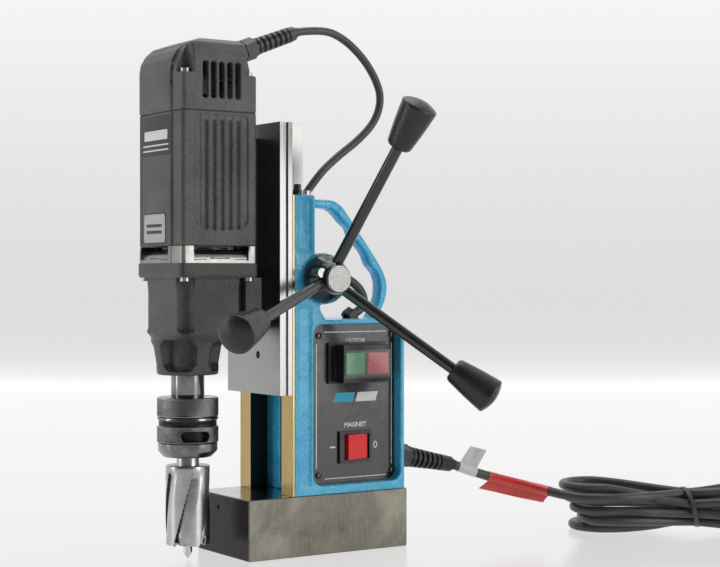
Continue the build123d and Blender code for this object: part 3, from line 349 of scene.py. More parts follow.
def speckled(name, low, high, rough, scale, spec=0.5):
    """Coarse-grained moulding or paint whose fine bumps catch the light."""
    s = Shader(name, Specular_IOR_Level=spec)
    grain = s.noise(scale, 3.0, 0.6)
    broad = s.noise(30, 4.0)
    s.colour(s.mixed(0.45, s.ramp(grain, [(0.36, low), (0.66, high)]), s.ramp(broad, [(0.3, low), (0.7, high)])))
    s.roughness(s.spread(grain, rough - 0.10, rough + 0.12))
    s.bump(grain, 0.0006, 0.8)
    return s.material


# painted shade: near-black colour for the knurl's valleys, the shade between its ridges
KNURL_SHADE = plain("steel_knurl_painted_shade", (0.012, 0.012, 0.012), (0.03, 0.03, 0.029), 0.35, 0.8)
CUTTER_DARK = plain("steel_cutter_step", (0.02, 0.02, 0.02), (0.05, 0.05, 0.048), 0.35, 0.8)
PLASTIC = speckled("plastic_motor", (0.022, 0.022, 0.021), (0.150, 0.147, 0.135), 0.36, 820, 0.6)
GEARCASE = speckled("case_black", (0.010, 0.010, 0.010), (0.110, 0.108, 0.098), 0.32, 900, 0.55)
BLACK_STEEL = plain("steel_black", (0.009, 0.009, 0.009), (0.018, 0.018, 0.018), 0.14, grain=700, depth=0.00001,
                    spec=0.7, coat=0.4)
CHUCK = plain("steel_blackened", (0.13, 0.13, 0.126), (0.44, 0.435, 0.42), 0.18, 1.0, grain=700, depth=0.00003)
KNOB = plain("plastic_knob", (0.010, 0.010, 0.010), (0.020, 0.020, 0.020), 0.27, grain=1200, depth=0.0002, spec=0.6)
BLACK = plain("plastic_black", (0.010, 0.010, 0.010), (0.018, 0.018, 0.018), 0.30, grain=1100, depth=0.00006)
PANEL = plain("panel_laminate", (0.013, 0.013, 0.014), (0.022, 0.022, 0.023), 0.24, grain=600, depth=0.00002, coat=0.3)
GREEN = plain("plastic_green", (0.012, 0.30, 0.075), (0.02, 0.38, 0.10), 0.25, coat=0.3)
RED = plain("plastic_red", (0.55, 0.012, 0.016), (0.68, 0.02, 0.022), 0.25, coat=0.3)
ROCKER = plain("plastic_red_bright", (0.90, 0.010, 0.008), (0.98, 0.022, 0.018), 0.24, coat=0.2)
RUBBER = plain("rubber_cord", (0.042, 0.042, 0.039), (0.082, 0.080, 0.073), 0.36, grain=900, depth=0.00008)
COPPER = plain("winding", (0.30, 0.12, 0.05), (0.42, 0.18, 0.08), 0.4, 0.6)
CORE = plain("iron_core", (0.10, 0.10, 0.11), (0.18, 0.18, 0.19), 0.4, 0.9)
BOARD = plain("board_green", (0.01, 0.08, 0.03), (0.02, 0.12, 0.05), 0.35)
FILM = clear_film()

BY_SLOT = {
    "blue_paint": PAINT, "magnet_steel": BASE, "steel": STEEL, "bright_steel": BRIGHT, "cutter_steel": CUTTER,
    "brass_guides": BRASS, "slide_aluminium": SLIDE, "ring_aluminium": RING, "gearbox_metal": GEARCASE,
    "motor_plastic": PLASTIC, "black_steel": BLACK_STEEL, "knob_plastic": KNOB, "black_plastic": BLACK,
    "panel_grey": PANEL, "start_green": GREEN, "stop_red": RED, "rocker_red": ROCKER, "clear_cover": FILM,
    "cord_rubber": RUBBER, "copper_coil": COPPER, "core_steel": CORE, "board_green": BOARD,
}
for node, piece in NODES.items():
    piece.data.materials.clear()
    piece.data.materials.append(BY_SLOT[SLOT_OF[node]])

# ---- camera ----
camera_data = bpy.data.cameras.new("camera")
camera = bpy.data.objects.new("camera", camera_data)
bpy.context.scene.collection.objects.link(camera)
bpy.context.scene.camera = camera
bpy.context.scene.view_settings.view_transform = "Standard"
camera_data.sensor_width = 36.0
camera_data.lens = 83.85
camera_data.clip_start = 0.05
azimuth, pitch = radians(56.54), radians(0.22)
look = Vector((-sin(azimuth) * cos(pitch), cos(azimuth) * cos(pitch), -sin(pitch)))
camera.location = (1.25397, -0.76865, 0.23648)
camera.rotation_euler = look.to_track_quat("-Z", "Y").to_euler()


# ---- cords ----
def cord_curve(name, points, diameter, body, material):
    """A round cord along one smooth spline whose control points are given in millimetres."""
    curve = bpy.data.curves.new(name, "CURVE")
    curve.dimensions = "3D"
    curve.bevel_depth = diameter / 2 * MM
    curve.bevel_resolution = 6
    curve.resolution_u = 12
    curve.use_fill_caps = True
    spline = curve.splines.new("NURBS")
    spline.points.add(len(points) - 1)
    for control, p in zip(spline.points, points):
        control.co = (p[0] * MM, p[1] * MM, p[2] * MM, 1)
    spline.order_u = 3
    spline.use_endpoint_u = True
    piece = bpy.data.objects.new(name, curve)
    bpy.context.scene.collection.objects.link(piece)
    curve.materials.append(material)
    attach(piece, body)
    return piece


def centre_line(piece):
    """The points of a cord's centre line and their distances along it, in millimetres."""
    curve = piece.data.copy()
    curve.bevel_depth = 0
    mesh = curve_mesh(curve)
    points = np.array([v.co[:] for v in mesh.vertices]) * 1000
    bpy.data.meshes.remove(mesh)
    return points, np.concatenate([[0], np.cumsum(np.linalg.norm(np.diff(points, axis=0), axis=1))])


def line_length(piece):
    return float(centre_line(piece)[1][-1]) * MM


MOTOR_LEAD = [(10, -11.646, 448.942), (10, 14, 453.5), (10, 35, 447.5), (10, 55, 433), (10, 69.5, 415),
              (10, 76.5, 397), (10, 70.5, 376.5), (10, 52.5, 358.5), (10, 29.5, 342.5), (10, 9.5, 325.5),
              (10, -3, 309)]
motor_lead = cord_curve("motor_lead_cord", MOTOR_LEAD, 7.0, "carriage", RUBBER)
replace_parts(motor_lead, "motor_lead")

WINDOW_LEAD = [(5, 15.3, 238.5), (5, 30, 239.5), (5, 45, 234.5), (5, 57.5, 225.5), (5, 62, 213),
               (5, 54.5, 205.5), (5, 45.5, 201.8)]
window_lead = cord_curve("window_lead_cord", WINDOW_LEAD, 8.0, "stand", RUBBER)
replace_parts(window_lead, "window_lead")

# The mains lead runs from its gland to the hank's near end, turns through the hank and ends in its plug.
HANK_START = Vector((65.4, 238.6, 0))
HANK_WAY = Vector((132.3, 200.3, 0)).normalized()
HANK_SIDE = Vector((-HANK_WAY.y, HANK_WAY.x, 0))


def in_hank(u, w, z):
    """A point by its distance along the hank, across it (away from the camera) and its height."""
    p = HANK_START + HANK_WAY * u + HANK_SIDE * w
    return (p.x, p.y, z)


FOLD_R = 27.8                       # radius of the lead's folds, over three times its thickness
FOLD_SIDE = 0.414 * FOLD_R
FOLD_STEPS = [(cos(radians(d)) * FOLD_R * 1.0824, sin(radians(d)) * FOLD_R * 1.0824)
              for d in (112.5, 157.5, 202.5, 247.5)]


def fold(way, apex, across, z_in, z_out):
    """A turn back at one end of the hank: way is 1 at its near end and -1 at its far end."""
    c = apex + way * FOLD_R
    rise = (z_out - z_in) / 5
    points = [(c + way * FOLD_SIDE, across + way * FOLD_R, z_in)]
    points += [(c + way * du, across + way * dw, z_in + rise * (k + 1)) for k, (du, dw) in enumerate(FOLD_STEPS)]
    return [in_hank(*p) for p in points + [(c + way * FOLD_SIDE, across - way * FOLD_R, z_out)]]


MAINS_EXIT = (22, 148, 65)
mains_points = [MAINS_EXIT, (25, 172, 56), (37, 199, 48), (57, 222, 41), in_hank(9, -30, 37.0),
                in_hank(40, -36, 36.5), in_hank(76, -24, 36.8)]
# each turn: places in the tie of its run out and its run back (across, height), its far fold and its near fold
TIE_AT = 119.0
TURNS = [
    ((-4.4, 37.2), (4.4, 37.2), (236, 0, 45.0, 45.5), (3, 3.0, 45.0, 44.5)),
    ((-13.2, 28.8), (13.2, 28.8), (229, 0, 35.0, 36.0), (7, 3.0, 34.6, 33.4)),
    ((-4.5, 28.7), (4.5, 28.7), (236, 0, 26.0, 26.5), (13, 3.0, 25.0, 23.6)),
    ((-12.2, 20.2), (12.2, 20.2), (224, 0, 17.0, 16.5), (20, 3.0, 16.0, 14.6)),
]
for run_out, run_back, far, near in TURNS:
    mains_points += [in_hank(TIE_AT - 8, *run_out), in_hank(TIE_AT + 8, *run_out)]
    mains_points += fold(-1, *far)
    mains_points += [in_hank(TIE_AT + 8, *run_back), in_hank(TIE_AT - 8, *run_back)]
    mains_points += fold(1, *near)
# the last run out and back along the floor, then a turn out to the plug, which lies behind the hank
mains_points += [in_hank(TIE_AT - 8, -4.4, 11.9), in_hank(TIE_AT + 8, -4.4, 11.9)]
mains_points += fold(-1, 231, 0, 7.0, 6.0)
mains_points += [in_hank(TIE_AT + 8, 4.4, 11.9), in_hank(TIE_AT - 8, 4.4, 11.9), in_hank(84, 2.0, 7.0)]
c = 15.0 + FOLD_R
mains_points += [in_hank(c + FOLD_SIDE, -0.2, 4.8)]
mains_points += [in_hank(c + du, FOLD_R - dw - 0.2, 4.8) for du, dw in FOLD_STEPS]
mains_points += [in_hank(c + FOLD_SIDE, 2 * FOLD_R - 0.2, 5.5), in_hank(84, 55.4, 10.0), in_hank(115, 55.4, 20.0),
                 in_hank(138, 55.4, 21.0), in_hank(152, 55.4, 21.0)]
mains_cord = cord_curve("mains_cord_line", mains_points, 8.5, "stand", RUBBER)
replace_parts(mains_cord, "mains_cord", "cord_hank")


def line_of(piece, count):
    """Evenly spaced points along a cord's centre line, and their distances along it."""
    points, lengths = centre_line(piece)
    at = np.linspace(0, lengths[-1], count)
    return np.stack([np.interp(at, lengths, points[:, k]) for k in range(3)], 1), at


MAINS_LINE, MAINS_AT = line_of(mains_cord, 4000)


def on_mains(distance):
    """A point of the mains cord's centre line and its direction, at a distance from the gland."""
    p = Vector([float(np.interp(distance, MAINS_AT, MAINS_LINE[:, k])) for k in range(3)])
    q = Vector([float(np.interp(distance + 1.5, MAINS_AT, MAINS_LINE[:, k])) for k in range(3)])
    return p, (q - p).normalized()


def cord_wrap(name, start, end, radius, material, count=14):
    """A sleeve of tape or label wound close round the mains cord."""
    rings = []
    for k in range(count + 1):
        p, way = on_mains(start + (end - start) * k / count)
        across = way.cross(Vector((0, 0, 1))).normalized()
        up = across.cross(way)
        grow = radius * (1 + 0.012 * sin(k * 2.1))
        rings.append([(p + (across * cos(t) + up * sin(t)) * grow) * MM for t in turns(28)])
    return link(name, skin(name, rings), "stand", material)


def cord_flag(name, start, end, height, material, curl, lean, edge, count=18):
    """A flap of thin sheet that stands out from the mains cord along part of its length."""
    near, far = [], []
    for k in range(count + 1):
        f = k / count
        p, way = on_mains(start + (end - start) * f)
        across = way.cross(Vector((0, 0, 1))).normalized()
        up = across.cross(way)
        line, back = [], []
        for j in range(9):
            g = j / 8
            reach = copysign(4.3, height) + height * g * (1 + edge * (f - 0.5))
            swing = curl * g * g + 0.9 * g * sin(f * 9.0 + 2.0 * g)
            q = p + up * reach + across * swing + way * lean * g
            line.append(q * MM)
            back.append((q + across * 0.22) * MM)
        near.append(line)
        far.append(back)
    rings = [a + b[::-1] for a, b in zip(near, far)]
    return link(name, skin(name, rings), "stand", material, sharp=60)


TAG = plain("label_white", (0.62, 0.62, 0.60), (0.70, 0.70, 0.68), 0.42, grain=500, depth=0.00004)
TAPE = plain("tape_red", (0.58, 0.030, 0.018), (0.78, 0.055, 0.035), 0.22, grain=160, depth=0.0006, coat=0.5)
tag_wrap = cord_wrap("cord_label_wrap", 5.0, 24.0, 4.55, TAG)
tag_flag = cord_flag("cord_label", 6.0, 24.0, 17.5, TAG, 1.2, 4.0, edge=0.08)
tape_wrap = cord_wrap("cord_tape_wrap", 37.0, 97.0, 4.6, TAPE, 30)
tape_flag = cord_flag("cord_tape", 38.0, 96.0, -8.5, TAPE, -2.2, -6.5, edge=-0.1, count=34)


def make_tie():
    """A thin strap drawn round the hank's middle, a little aslant."""
    rings = []
    for t in turns(72):
        c, n = cos(t), sin(t)
        u = TIE_AT + 0.6 - 5.6 * n + 0.7 * sin(3 * t)
        rings.append([v3(*in_hank(u + du, (19.6 + out) * c, 24.6 + (17.1 + out) * n))
                      for du, out in ((-2.1, 0.0), (-2.3, 0.7), (-1.9, 1.35), (1.9, 1.35), (2.3, 0.7), (2.1, 0.0))])
    piece = link("hank_strap", skin("strap", rings, True), "stand", RUBBER, sharp=50)
    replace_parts(piece, "cord_tie")
    return piece


strap = make_tie()

# ---- shaped skins ----
def step(value, edge, soft=0.4):
    """0 below the edge, 1 above it, smooth between."""
    t = min(1.0, max(0.0, (value - edge) / soft + 0.5))
    return t * t * (3 - 2 * t)


def inside(value, low, high, soft=0.4):
    return step(value, low, soft) * (1 - step(value, high, soft))


def levels(low, high, pitch, edges=(), near=0.3):
    count = max(1, round((high - low) / pitch))
    values = [low + (high - low) * i / count for i in range(count + 1)]
    for edge in edges:
        values += [edge - near, edge + near]
    values = sorted(v for v in values if low <= v <= high)
    kept = values[:1]
    for value in values[1:]:
        if value - kept[-1] > 0.12:
            kept.append(value)
    kept[-1] = high
    return kept


def box_outline(half_x, half_y, middle_y, corner, x_places, y_places):
    """Points round a rounded rectangle: x, y, normal, which face, and the place along it."""
    points = []

    def turn(cx, cy, start):
        for i in range(1, 6):
            a = radians(start + 15 * i)
            nx, ny = cos(a), sin(a)
            points.append((cx + corner * nx, cy + corner * ny, nx, ny, "corner", 0))

    ys = [y for y in y_places if abs(y - middle_y) <= half_y - corner + 1e-6]
    xs = [x for x in x_places if abs(x) <= half_x - corner + 1e-6]
    points += [(half_x, y, 1, 0, "+x", y) for y in ys]
    turn(half_x - corner, middle_y + half_y - corner, 0)
    points += [(x, middle_y + half_y, 0, 1, "+y", x) for x in reversed(xs)]
    turn(-half_x + corner, middle_y + half_y - corner, 90)
    points += [(-half_x, y, -1, 0, "-x", y) for y in reversed(ys)]
    turn(-half_x + corner, middle_y - half_y + corner, 180)
    points += [(x, middle_y - half_y, 0, -1, "-y", x) for x in xs]
    turn(half_x - corner, middle_y - half_y + corner, 270)
    return points


def boxed_skin(name, half_x, half_y, middle_y, corner, x_places, y_places, z_places, offset):
    outline = box_outline(half_x, half_y, middle_y, corner, x_places, y_places)
    rings = []
    for z in z_places:
        ring = []
        for x, y, nx, ny, face, along in outline:
            move = offset(face, along, z)
            ring.append(v3(x + nx * move, y + ny * move, z))
        rings.append(ring)
    return skin(name, rings)


def rounded_gap(x, y, half_x, half_y, corner):
    """Signed distance to a rounded rectangle about the origin."""
    qx, qy = abs(x) - half_x + corner, abs(y) - half_y + corner
    return hypot(max(qx, 0), max(qy, 0)) + min(max(qx, qy), 0) - corner


def end_inset(z, low, high):
    """A small rounding in at both ends, so that a seam shows between stacked pieces."""
    return -0.5 * (1 - step(z, low + 0.35, 0.7)) - 0.5 * step(z, high - 0.35, 0.7)


# ---- motor ----
HOUSING_Z, VENT_Z, FLANGE_Z = (262.2, 373.0), (248.0, 262.0), (236.0, 248.0)
MOTOR_Y, MOTOR_HX, MOTOR_HY = -104.0, 40.0, 35.5
FRONT, BACK = MOTOR_Y - MOTOR_HY, MOTOR_Y + MOTOR_HY
GROOVES = [-116.6 + 7.5 * i for i in range(5)]


def housing_offset(face, along, z):
    move = end_inset(z, *HOUSING_Z)
    if face in ("+x", "-x"):
        middle = -102.3
        bottom = 279.0 - 3.0 * (1 - ((along - middle) / 24.6) ** 2)
        gap = rounded_gap(along - middle, z - (bottom + 370.5) / 2, 24.6, (370.5 - bottom) / 2, 5.0)
        panel = 1 - step(gap, 0, 0.9)
        move -= 1.15 * panel
        move += 0.5 * panel * max(0.0, -cos(2 * pi * (along - GROOVES[0]) / 7.5))
        for groove in GROOVES:
            low = 278.5 - 2.6 * (1 - ((groove - middle) / 24.6) ** 2)
            far = hypot(along - groove, max(0, z - 364.5, low - z))
            move -= 1.7 * (1 - step(far, 1.15, 0.8))
    elif face in ("-y", "+y"):
        move -= 1.0 * (along / 40) ** 2
        if face == "-y":
            move -= 0.7 * step(along, 20.8, 0.8) + 0.9 * inside(along, 20.2, 21.2, 0.5)
        else:
            move -= 0.6
    return move


def make_housing():
    fine_y = levels(BACK - 2 * MOTOR_HY + 3.5, BACK - 3.5, 0.62)
    mesh = boxed_skin("housing", MOTOR_HX - 0.2, MOTOR_HY - 0.2, MOTOR_Y, 3.5,
                      levels(-36.3, 36.3, 4.0, (20.2, 21.2)), fine_y,
                      levels(*HOUSING_Z, 0.8, (262.6, 372.6)), housing_offset)
    piece = link("housing_shell", mesh, "carriage", PLASTIC, sharp=60)
    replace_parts(piece, "motor_housing")


def vent_offset(face, along, z):
    move = 0.0
    if face in ("+x", "-x"):
        window = inside(along, -128, -77.5, 0.5)
    elif face == "-y":
        window = inside(along, -35.5, 14.0, 0.5)
        move -= 0.9 * inside(along, 20.2, 21.4, 0.4)
    elif face == "+y":
        window = inside(along, -30, 30, 0.5)
    else:
        window = 0.0
    middle = -102.7 if face in ("+x", "-x") else -10.7
    reach = 1 - min(1.0, abs(along - middle) / 26.0) ** 2
    sill = 250.6 + 1.0 * reach
    if window and z > sill:
        slope = (z - sill) / (259.0 - sill)
        move -= window * (1.4 + 5.4 * min(1.0, max(0.0, slope)) ** 1.6 + 7.0 * step(z, 258.6, 0.8))
    return move


def make_vent_ring():
    mesh = boxed_skin("vent", MOTOR_HX, MOTOR_HY, MOTOR_Y, 3.5,
                      levels(-36.5, 36.5, 1.5, (-35.5, 14, 20.2, 21.4, -30, 30), 0.2),
                      levels(-136, -72, 1.5, (-128, -77.5), 0.2),
                      levels(*VENT_Z, 0.7, (251, 258.6)), vent_offset)
    piece = link("vent_ring_shell", mesh, "carriage", RING, sharp=40)

    # painted shade: faces deep inside the vent windows get black, standing in for the shadowed inside of the slots
    def in_vent_shade(n, c):
        return int(max(abs(c.x) - MOTOR_HX, abs(c.y - MOTOR_Y) - MOTOR_HY) < -3.2 and 249.5 < c.z < 261.9)

    faced(piece, in_vent_shade, BLACK)
    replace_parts(piece, "vent_ring")


def front_face(x):
    return FRONT + 0.2 + 1.0 * (x / 40) ** 2


make_housing()
make_vent_ring()


# ---- gear case: a block with screw scallops that narrows to a nose with four windows ----
SPIN_Y = -113.3
CASE_SCREWS = [(x, y - SPIN_Y) for x in (-35.5, 35.5) for y in (-134.5, -75.0)]


def on_spindle(radius, turn, z):
    """A point about the spindle's axis."""
    return v3(radius * cos(turn), SPIN_Y + radius * sin(turn), z)


def case_radius(turn, z):
    cx, sy = cos(turn), sin(turn)
    down = 1 - step(z, 186.5, 9.0)
    half_y = 23.7 if sy < 0 else 37.3 - 8.5 * down
    power = 9.0 - 5.0 * down
    flare = 1.0 + 0.035 * step(z, 228, 12)
    block_r = (abs(cx / (35.5 * flare)) ** power + abs(sy / (half_y * flare)) ** power) ** (-1 / power)
    for px, py in CASE_SCREWS:
        reach = 8.8 * min(1.0, max(0.0, (z - 189.5) / 4.0)) ** 0.5
        along = px * cx + py * sy
        under = reach ** 2 - (px ** 2 + py ** 2 - along ** 2)
        if along > 0 and under > 0:
            near = along - sqrt(under)
            sharp = 0.9
            blend = max(0.0, 1 - abs(block_r - near) / sharp)
            block_r = min(block_r, near) - sharp * 0.25 * blend * blend
    nose = 25.4 + (z - 155.0) * 0.175 + 1.6 * step(z, 183, 12)
    radius = block_r + (nose - block_r) * down
    if 150 < z < 187:
        quarter = (degrees(turn) - 45) % 90
        quarter = quarter - 90 if quarter > 45 else quarter
        across = radians(quarter) * 27
        gap = max(abs(across) - 15.5, abs(z - 171.3) - 13.0, (abs(across) + abs(z - 171.3) - 22.5) / 1.414)
        window = 1 - step(gap, 0, 0.7)
        radius += (19.2 - radius) * window
    return radius


def make_case():
    z_places = levels(155.0, 190.0, 1.0, (158.3, 184.3)) + levels(191.0, 236.0, 1.6)
    steps = 288
    rings = []
    for z in z_places:
        trim = 0.8 * (1 - step(z, 155.5, 1.2))
        rings.append([on_spindle(case_radius(turn, z) - trim, turn, z) for turn in turns(steps)])
    # inside it is hollow, with a bore for the spindle in its floor
    for z, inner in ((236.0, 21.0), (192.0, 21.0), (186.0, 16.8), (158.0, 16.8), (158.0, 13.4), (155.0, 13.4)):
        rings.append([on_spindle(inner, turn, z) for turn in turns(steps)])
    mesh = skin("case", rings, True)
    piece = link("gear_case_shell", mesh, "carriage", GEARCASE, sharp=50)

    def flange_offset(face, along, z):
        return -0.9 * (1 - step(z, 237.2, 2.4)) - 0.5 * step(z, 247.6, 0.7)

    flange = boxed_skin("flange", MOTOR_HX + 1, MOTOR_HY + 1, MOTOR_Y, 4.5, levels(-36.5, 36.5, 6),
                        levels(-136, -72, 6), levels(*FLANGE_Z, 0.8), flange_offset)
    rim = link("gear_case_flange", flange, "carriage", GEARCASE, sharp=50)
    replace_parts(piece, "gearbox_housing")
    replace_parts(rim, "gearbox_housing")


make_case()


# ---- chuck, cutter and pin ----
def knurl(radius, turn, height):
    """Crossed ridges, 74 each way round and 0.65 mm deep."""
    lift = height * 37 / radius
    a, b = abs(sin(37 * turn + lift)), abs(sin(37 * turn - lift))
    return radius - 0.65 + 0.65 * min(a, b) ** 0.7


def knurled_at(bands, slots=()):
    def shape(radius, turn, height):
        for low, high in bands:
            if low <= height <= high:
                radius = knurl(radius, turn, height)
        for centre, half, low, high in slots:
            away = (degrees(turn) - centre + 180) % 360 - 180
            across = radians(away) * 25.8
            gap = hypot(max(0, abs(across) - half + 4), abs(height - (low + high) / 2)) - 4
            radius -= 6.0 * (1 - step(gap, 0, 0.5))
        return radius
    return shape


def make_chuck():
    spot, up = (0, SPIN_Y, 0), (0, 0, 1)
    low = [(9.6, 86.3), (20.2, 86.3), (20.6, 86.5), (24.7, 91.0), (25.0, 91.6), (25.0, 97.6), (24.6, 98.0),
           (18.0, 98.0)]
    body = lathe("chuck_low", low, spot, up, 96, around=True)
    piece = link("chuck_lower_ring", body, "spindle", CHUCK, sharp=30)
    high = [(18.0, 119.9), (24.9, 119.9), (25.5, 120.3), (25.8, 120.9)]
    high += [(25.8, z) for z in levels(121.2, 134.8, 0.42)]
    high += [(25.5, 135.4), (24.8, 136.0), (14.1, 136.0)]
    upper = lathe("chuck_high", high, spot, up, 416, knurled_at([(121.1, 134.9)]), around=True)
    upper_piece = link("chuck_upper_ring", upper, "spindle", CHUCK, sharp=60)
    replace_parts(piece, "chuck_body")
    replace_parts(upper_piece, "chuck_body")
    sleeve = [(19.6, 98.3), (24.9, 98.3), (25.6, 98.7), (25.8, 99.2)]
    sleeve += [(25.8, z) for z in levels(99.4, 111.2, 0.42)]
    sleeve += [(25.6, 111.7), (24.4, 112.2), (24.3, 112.6), (24.3, 116.8), (24.9, 117.2), (25.5, 117.5),
               (25.5, 119.2), (24.8, 119.7), (19.6, 119.7)]
    slots = [(turn, 12.5, 100.4, 108.0) for turn in (-12, 168)]
    ring = lathe("sleeve", sleeve, spot, up, 416, knurled_at([(99.3, 111.3)], slots), around=True)
    ring_piece = link("chuck_release_sleeve", ring, "chuck_sleeve", CHUCK, sharp=60)
    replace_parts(ring_piece, "chuck_sleeve")

    # painted shade: knurl faces below the ridge tops that don't face up or down get the near-black shade colour
    def in_knurl_shade(n, c):
        return int(99 < c.z < 135 and hypot(c.x, c.y - SPIN_Y) < 25.48 and abs(n.z) < 0.6)

    for knurled in (upper_piece, ring_piece):
        faced(knurled, in_knurl_shade, KNURL_SHADE)


FLUTES, HELIX = 5, 0.875            # teeth round the cutter, and degrees the flutes turn in each millimetre


def past_tooth(turn, height):
    """Degrees past the last tooth's edge."""
    return (degrees(turn) - 33.0 - HELIX * (height - 45)) % (360 / FLUTES)


def cutter_radius(radius, turn, height):
    if radius < 18 or height > 76.5:
        return radius
    away = past_tooth(turn, height)
    run_out = 1 - step(height, 72.5, 7.0)
    depth = 2.3 * max(0.0, 1 - away / 34.0) ** 1.3 * step(away, 1.2, 1.6) * run_out
    gullet = 1.6 * (1 - step(height, 18.5, 5.0)) * inside(away, 1.0, 17.0, 3.0)
    return radius - depth - gullet


def tooth_lift(radius, turn, height):
    """How far the cutting end rises between two teeth."""
    if height >= 13.6 or radius <= 13:
        return 0.0
    away = past_tooth(turn, 12)
    return 3.6 * inside(away, 0.8, 15.0, 1.6) + 1.2 * step(away, 15.0, 1.0) * (1 - (away - 15.0) / 57.0)


def make_cutter():
    profile = [(14.0, 13.5), (16.2, 12.0), (18.5, 12.6)]
    profile += [(18.5, z) for z in levels(13.0, 77.6, 0.9)]
    profile += [(18.2, 78.6), (17.2, 79.0), (9.6, 79.0), (9.5, 79.4), (9.5, 110.0)]
    rings = [[on_spindle(14.0, turn, z) for turn in turns(360)] for z in (66.0, 40.0)]
    rings += [[on_spindle(cutter_radius(radius, turn, height), turn, height + tooth_lift(radius, turn, height))
               for turn in turns(360)] for radius, height in profile]
    piece = link("cutter_body", skin("cutter", rings), "spindle", CUTTER, sharp=28)

    def in_flute(n, c):
        c = c - Vector((0, SPIN_Y, 0))
        across = c.xy.length
        return int(across > 15 and abs(n.x * c.x + n.y * c.y) / across < 0.80 and 16 < c.z < 73)

    faced(piece, in_flute, CUTTER_DARK)
    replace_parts(piece, "annular_cutter")


def make_spring():
    curve = bpy.data.curves.new("spring", "CURVE")
    curve.dimensions = "3D"
    curve.bevel_depth = 0.55 * MM
    curve.bevel_resolution = 3
    spline = curve.splines.new("NURBS")
    turns, low, high, radius = 14, 114.0, 185.0, 3.6
    count = turns * 8
    spline.points.add(count)
    for i, control in enumerate(spline.points):
        a = 2 * pi * i / 8
        p = v3(radius * cos(a), SPIN_Y + radius * sin(a), low + (high - low) * i / count)
        control.co = (*p, 1)
    spline.order_u = 4
    spline.use_endpoint_u = True
    piece = link("pilot_spring_coils", curve_mesh(curve), "spindle", STEEL)
    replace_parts(piece, "pilot_spring")


make_chuck()
make_cutter()
make_spring()


# ---- arms and knobs ----
HUB_ROOT = Vector((53.6, -7.0, 235.0))
KNOB_AT = 130.0                     # along an arm, from the hub's axis


def arm_way(index):
    tilt, turn = radians(31.0), radians(77.0 - 120.0 * index)
    return Vector((sin(tilt), cos(tilt) * cos(turn), cos(tilt) * sin(turn)))


def make_arms():
    rod = [(4.0, 13.2), (4.8, 13.9), (4.8, 60.0), (4.8, 131.0), (4.2, 131.6)]
    knob = [(4.9, -0.6), (8.0, -0.6), (9.2, 0.0), (10.2, 1.0), (10.8, 2.4), (11.5, 6.5), (12.6, 13.5),
            (13.8, 22), (14.9, 32), (15.3, 36.4), (15.5, 37.6), (15.45, 38.6), (15.0, 39.3), (14.2, 39.9),
            (12.0, 41.0), (8.5, 42.3), (4.5, 43.2), (1.0, 43.6)]
    for index in range(3):
        way = arm_way(index)
        mesh = lathe("rod", rod, HUB_ROOT, way, 48)
        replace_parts(link(f"arm_rod_{index}", mesh, "feed", BLACK_STEEL), "feed_arms")
        mesh = lathe("knob", knob, HUB_ROOT + way * KNOB_AT, way, 72)
        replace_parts(link(f"arm_knob_{index}", mesh, "feed", KNOB, sharp=60), "arm_knobs")


make_arms()


# ---- painted frame ----
def remeshed(name, parts, voxel, smoothing, keep):
    """One closed surface around overlapping solids, with its edges softened."""
    bm = bmesh.new()
    for part in parts:
        bm.from_mesh(part)
    mesh = mesh_from(name, bm)
    probe = bpy.data.objects.new(name + "_solid", mesh)
    bpy.context.scene.collection.objects.link(probe)
    remesh = probe.modifiers.new("remesh", "REMESH")
    remesh.mode, remesh.voxel_size = "VOXEL", voxel * MM
    smooth = probe.modifiers.new("smooth", "SMOOTH")
    smooth.factor, smooth.iterations = 0.5, smoothing
    thin = probe.modifiers.new("thin", "DECIMATE")
    thin.ratio = keep
    bpy.context.view_layer.update()
    done = bpy.data.meshes.new_from_object(probe.evaluated_get(bpy.context.evaluated_depsgraph_get()))
    done.name = name
    bpy.data.objects.remove(probe)
    bpy.data.meshes.remove(mesh)
    return done


def spline_through(points, count):
    """Points evenly spread along a smooth line through the given ones."""
    ends = [points[0]] + list(points) + [points[-1]]
    result = []
    for i in range(count):
        t = i / (count - 1) * (len(points) - 1)
        k = min(int(t), len(points) - 2)
        f = t - k
        a, b, c, d = (np.array(ends[k + j], float) for j in range(4))
        bent, twisted = 2 * a - 5 * b + 4 * c - d, 3 * b - a - 3 * c + d
        result.append(0.5 * (2 * b + (c - a) * f + bent * f * f + twisted * f ** 3))
    return result


def handle_bar():
    """The grab handle: a flat bar with rounded sides whose inner edge has three finger hollows."""
    outer = spline_through([(-6, 304.6), (10, 304.8), (24, 304.8), (32, 303.2), (38.5, 298.6), (48.3, 286.4),
                            (61.6, 269.7), (75.0, 252.0), (81.6, 242.6), (85.2, 234.0), (86.2, 225.5),
                            (84.2, 216.0), (79.5, 206.5), (72, 192)], 66)
    inner = spline_through([(-6, 297.0), (4, 297.2), (16.5, 296.8), (25.0, 295.2), (31.5, 291.2), (37.8, 284.6),
                            (45.2, 278.4), (47.6, 272.6), (53.0, 266.5), (60.5, 258.6), (63.6, 252.0), (65.8, 247.6),
                            (72.6, 241.4), (75.8, 234.0), (76.6, 226.0), (75.2, 217.0), (70.5, 208.0),
                            (60, 192)], 66)
    rings = []
    for a, b in zip(outer, inner):
        middle, half = (a + b) / 2, (a - b) / 2
        ring = []
        for turn in turns(24):
            c, n = cos(turn), sin(turn)
            c = copysign(abs(c) ** 0.62, c)
            n = copysign(abs(n) ** 0.62, n)
            p = middle + half * c
            ring.append(v3(7.2 * n, p[0], p[1]))
        rings.append(ring)
    return skin("handle_bar", rings)


def smooth_box(value, low, high, soft):
    """One inside the span, zero outside it, with eased ends."""
    rise = np.clip((value - low) / soft + 0.5, 0, 1)
    fall = np.clip((high - value) / soft + 0.5, 0, 1)
    return rise * rise * (3 - 2 * rise) * fall * fall * (3 - 2 * fall)


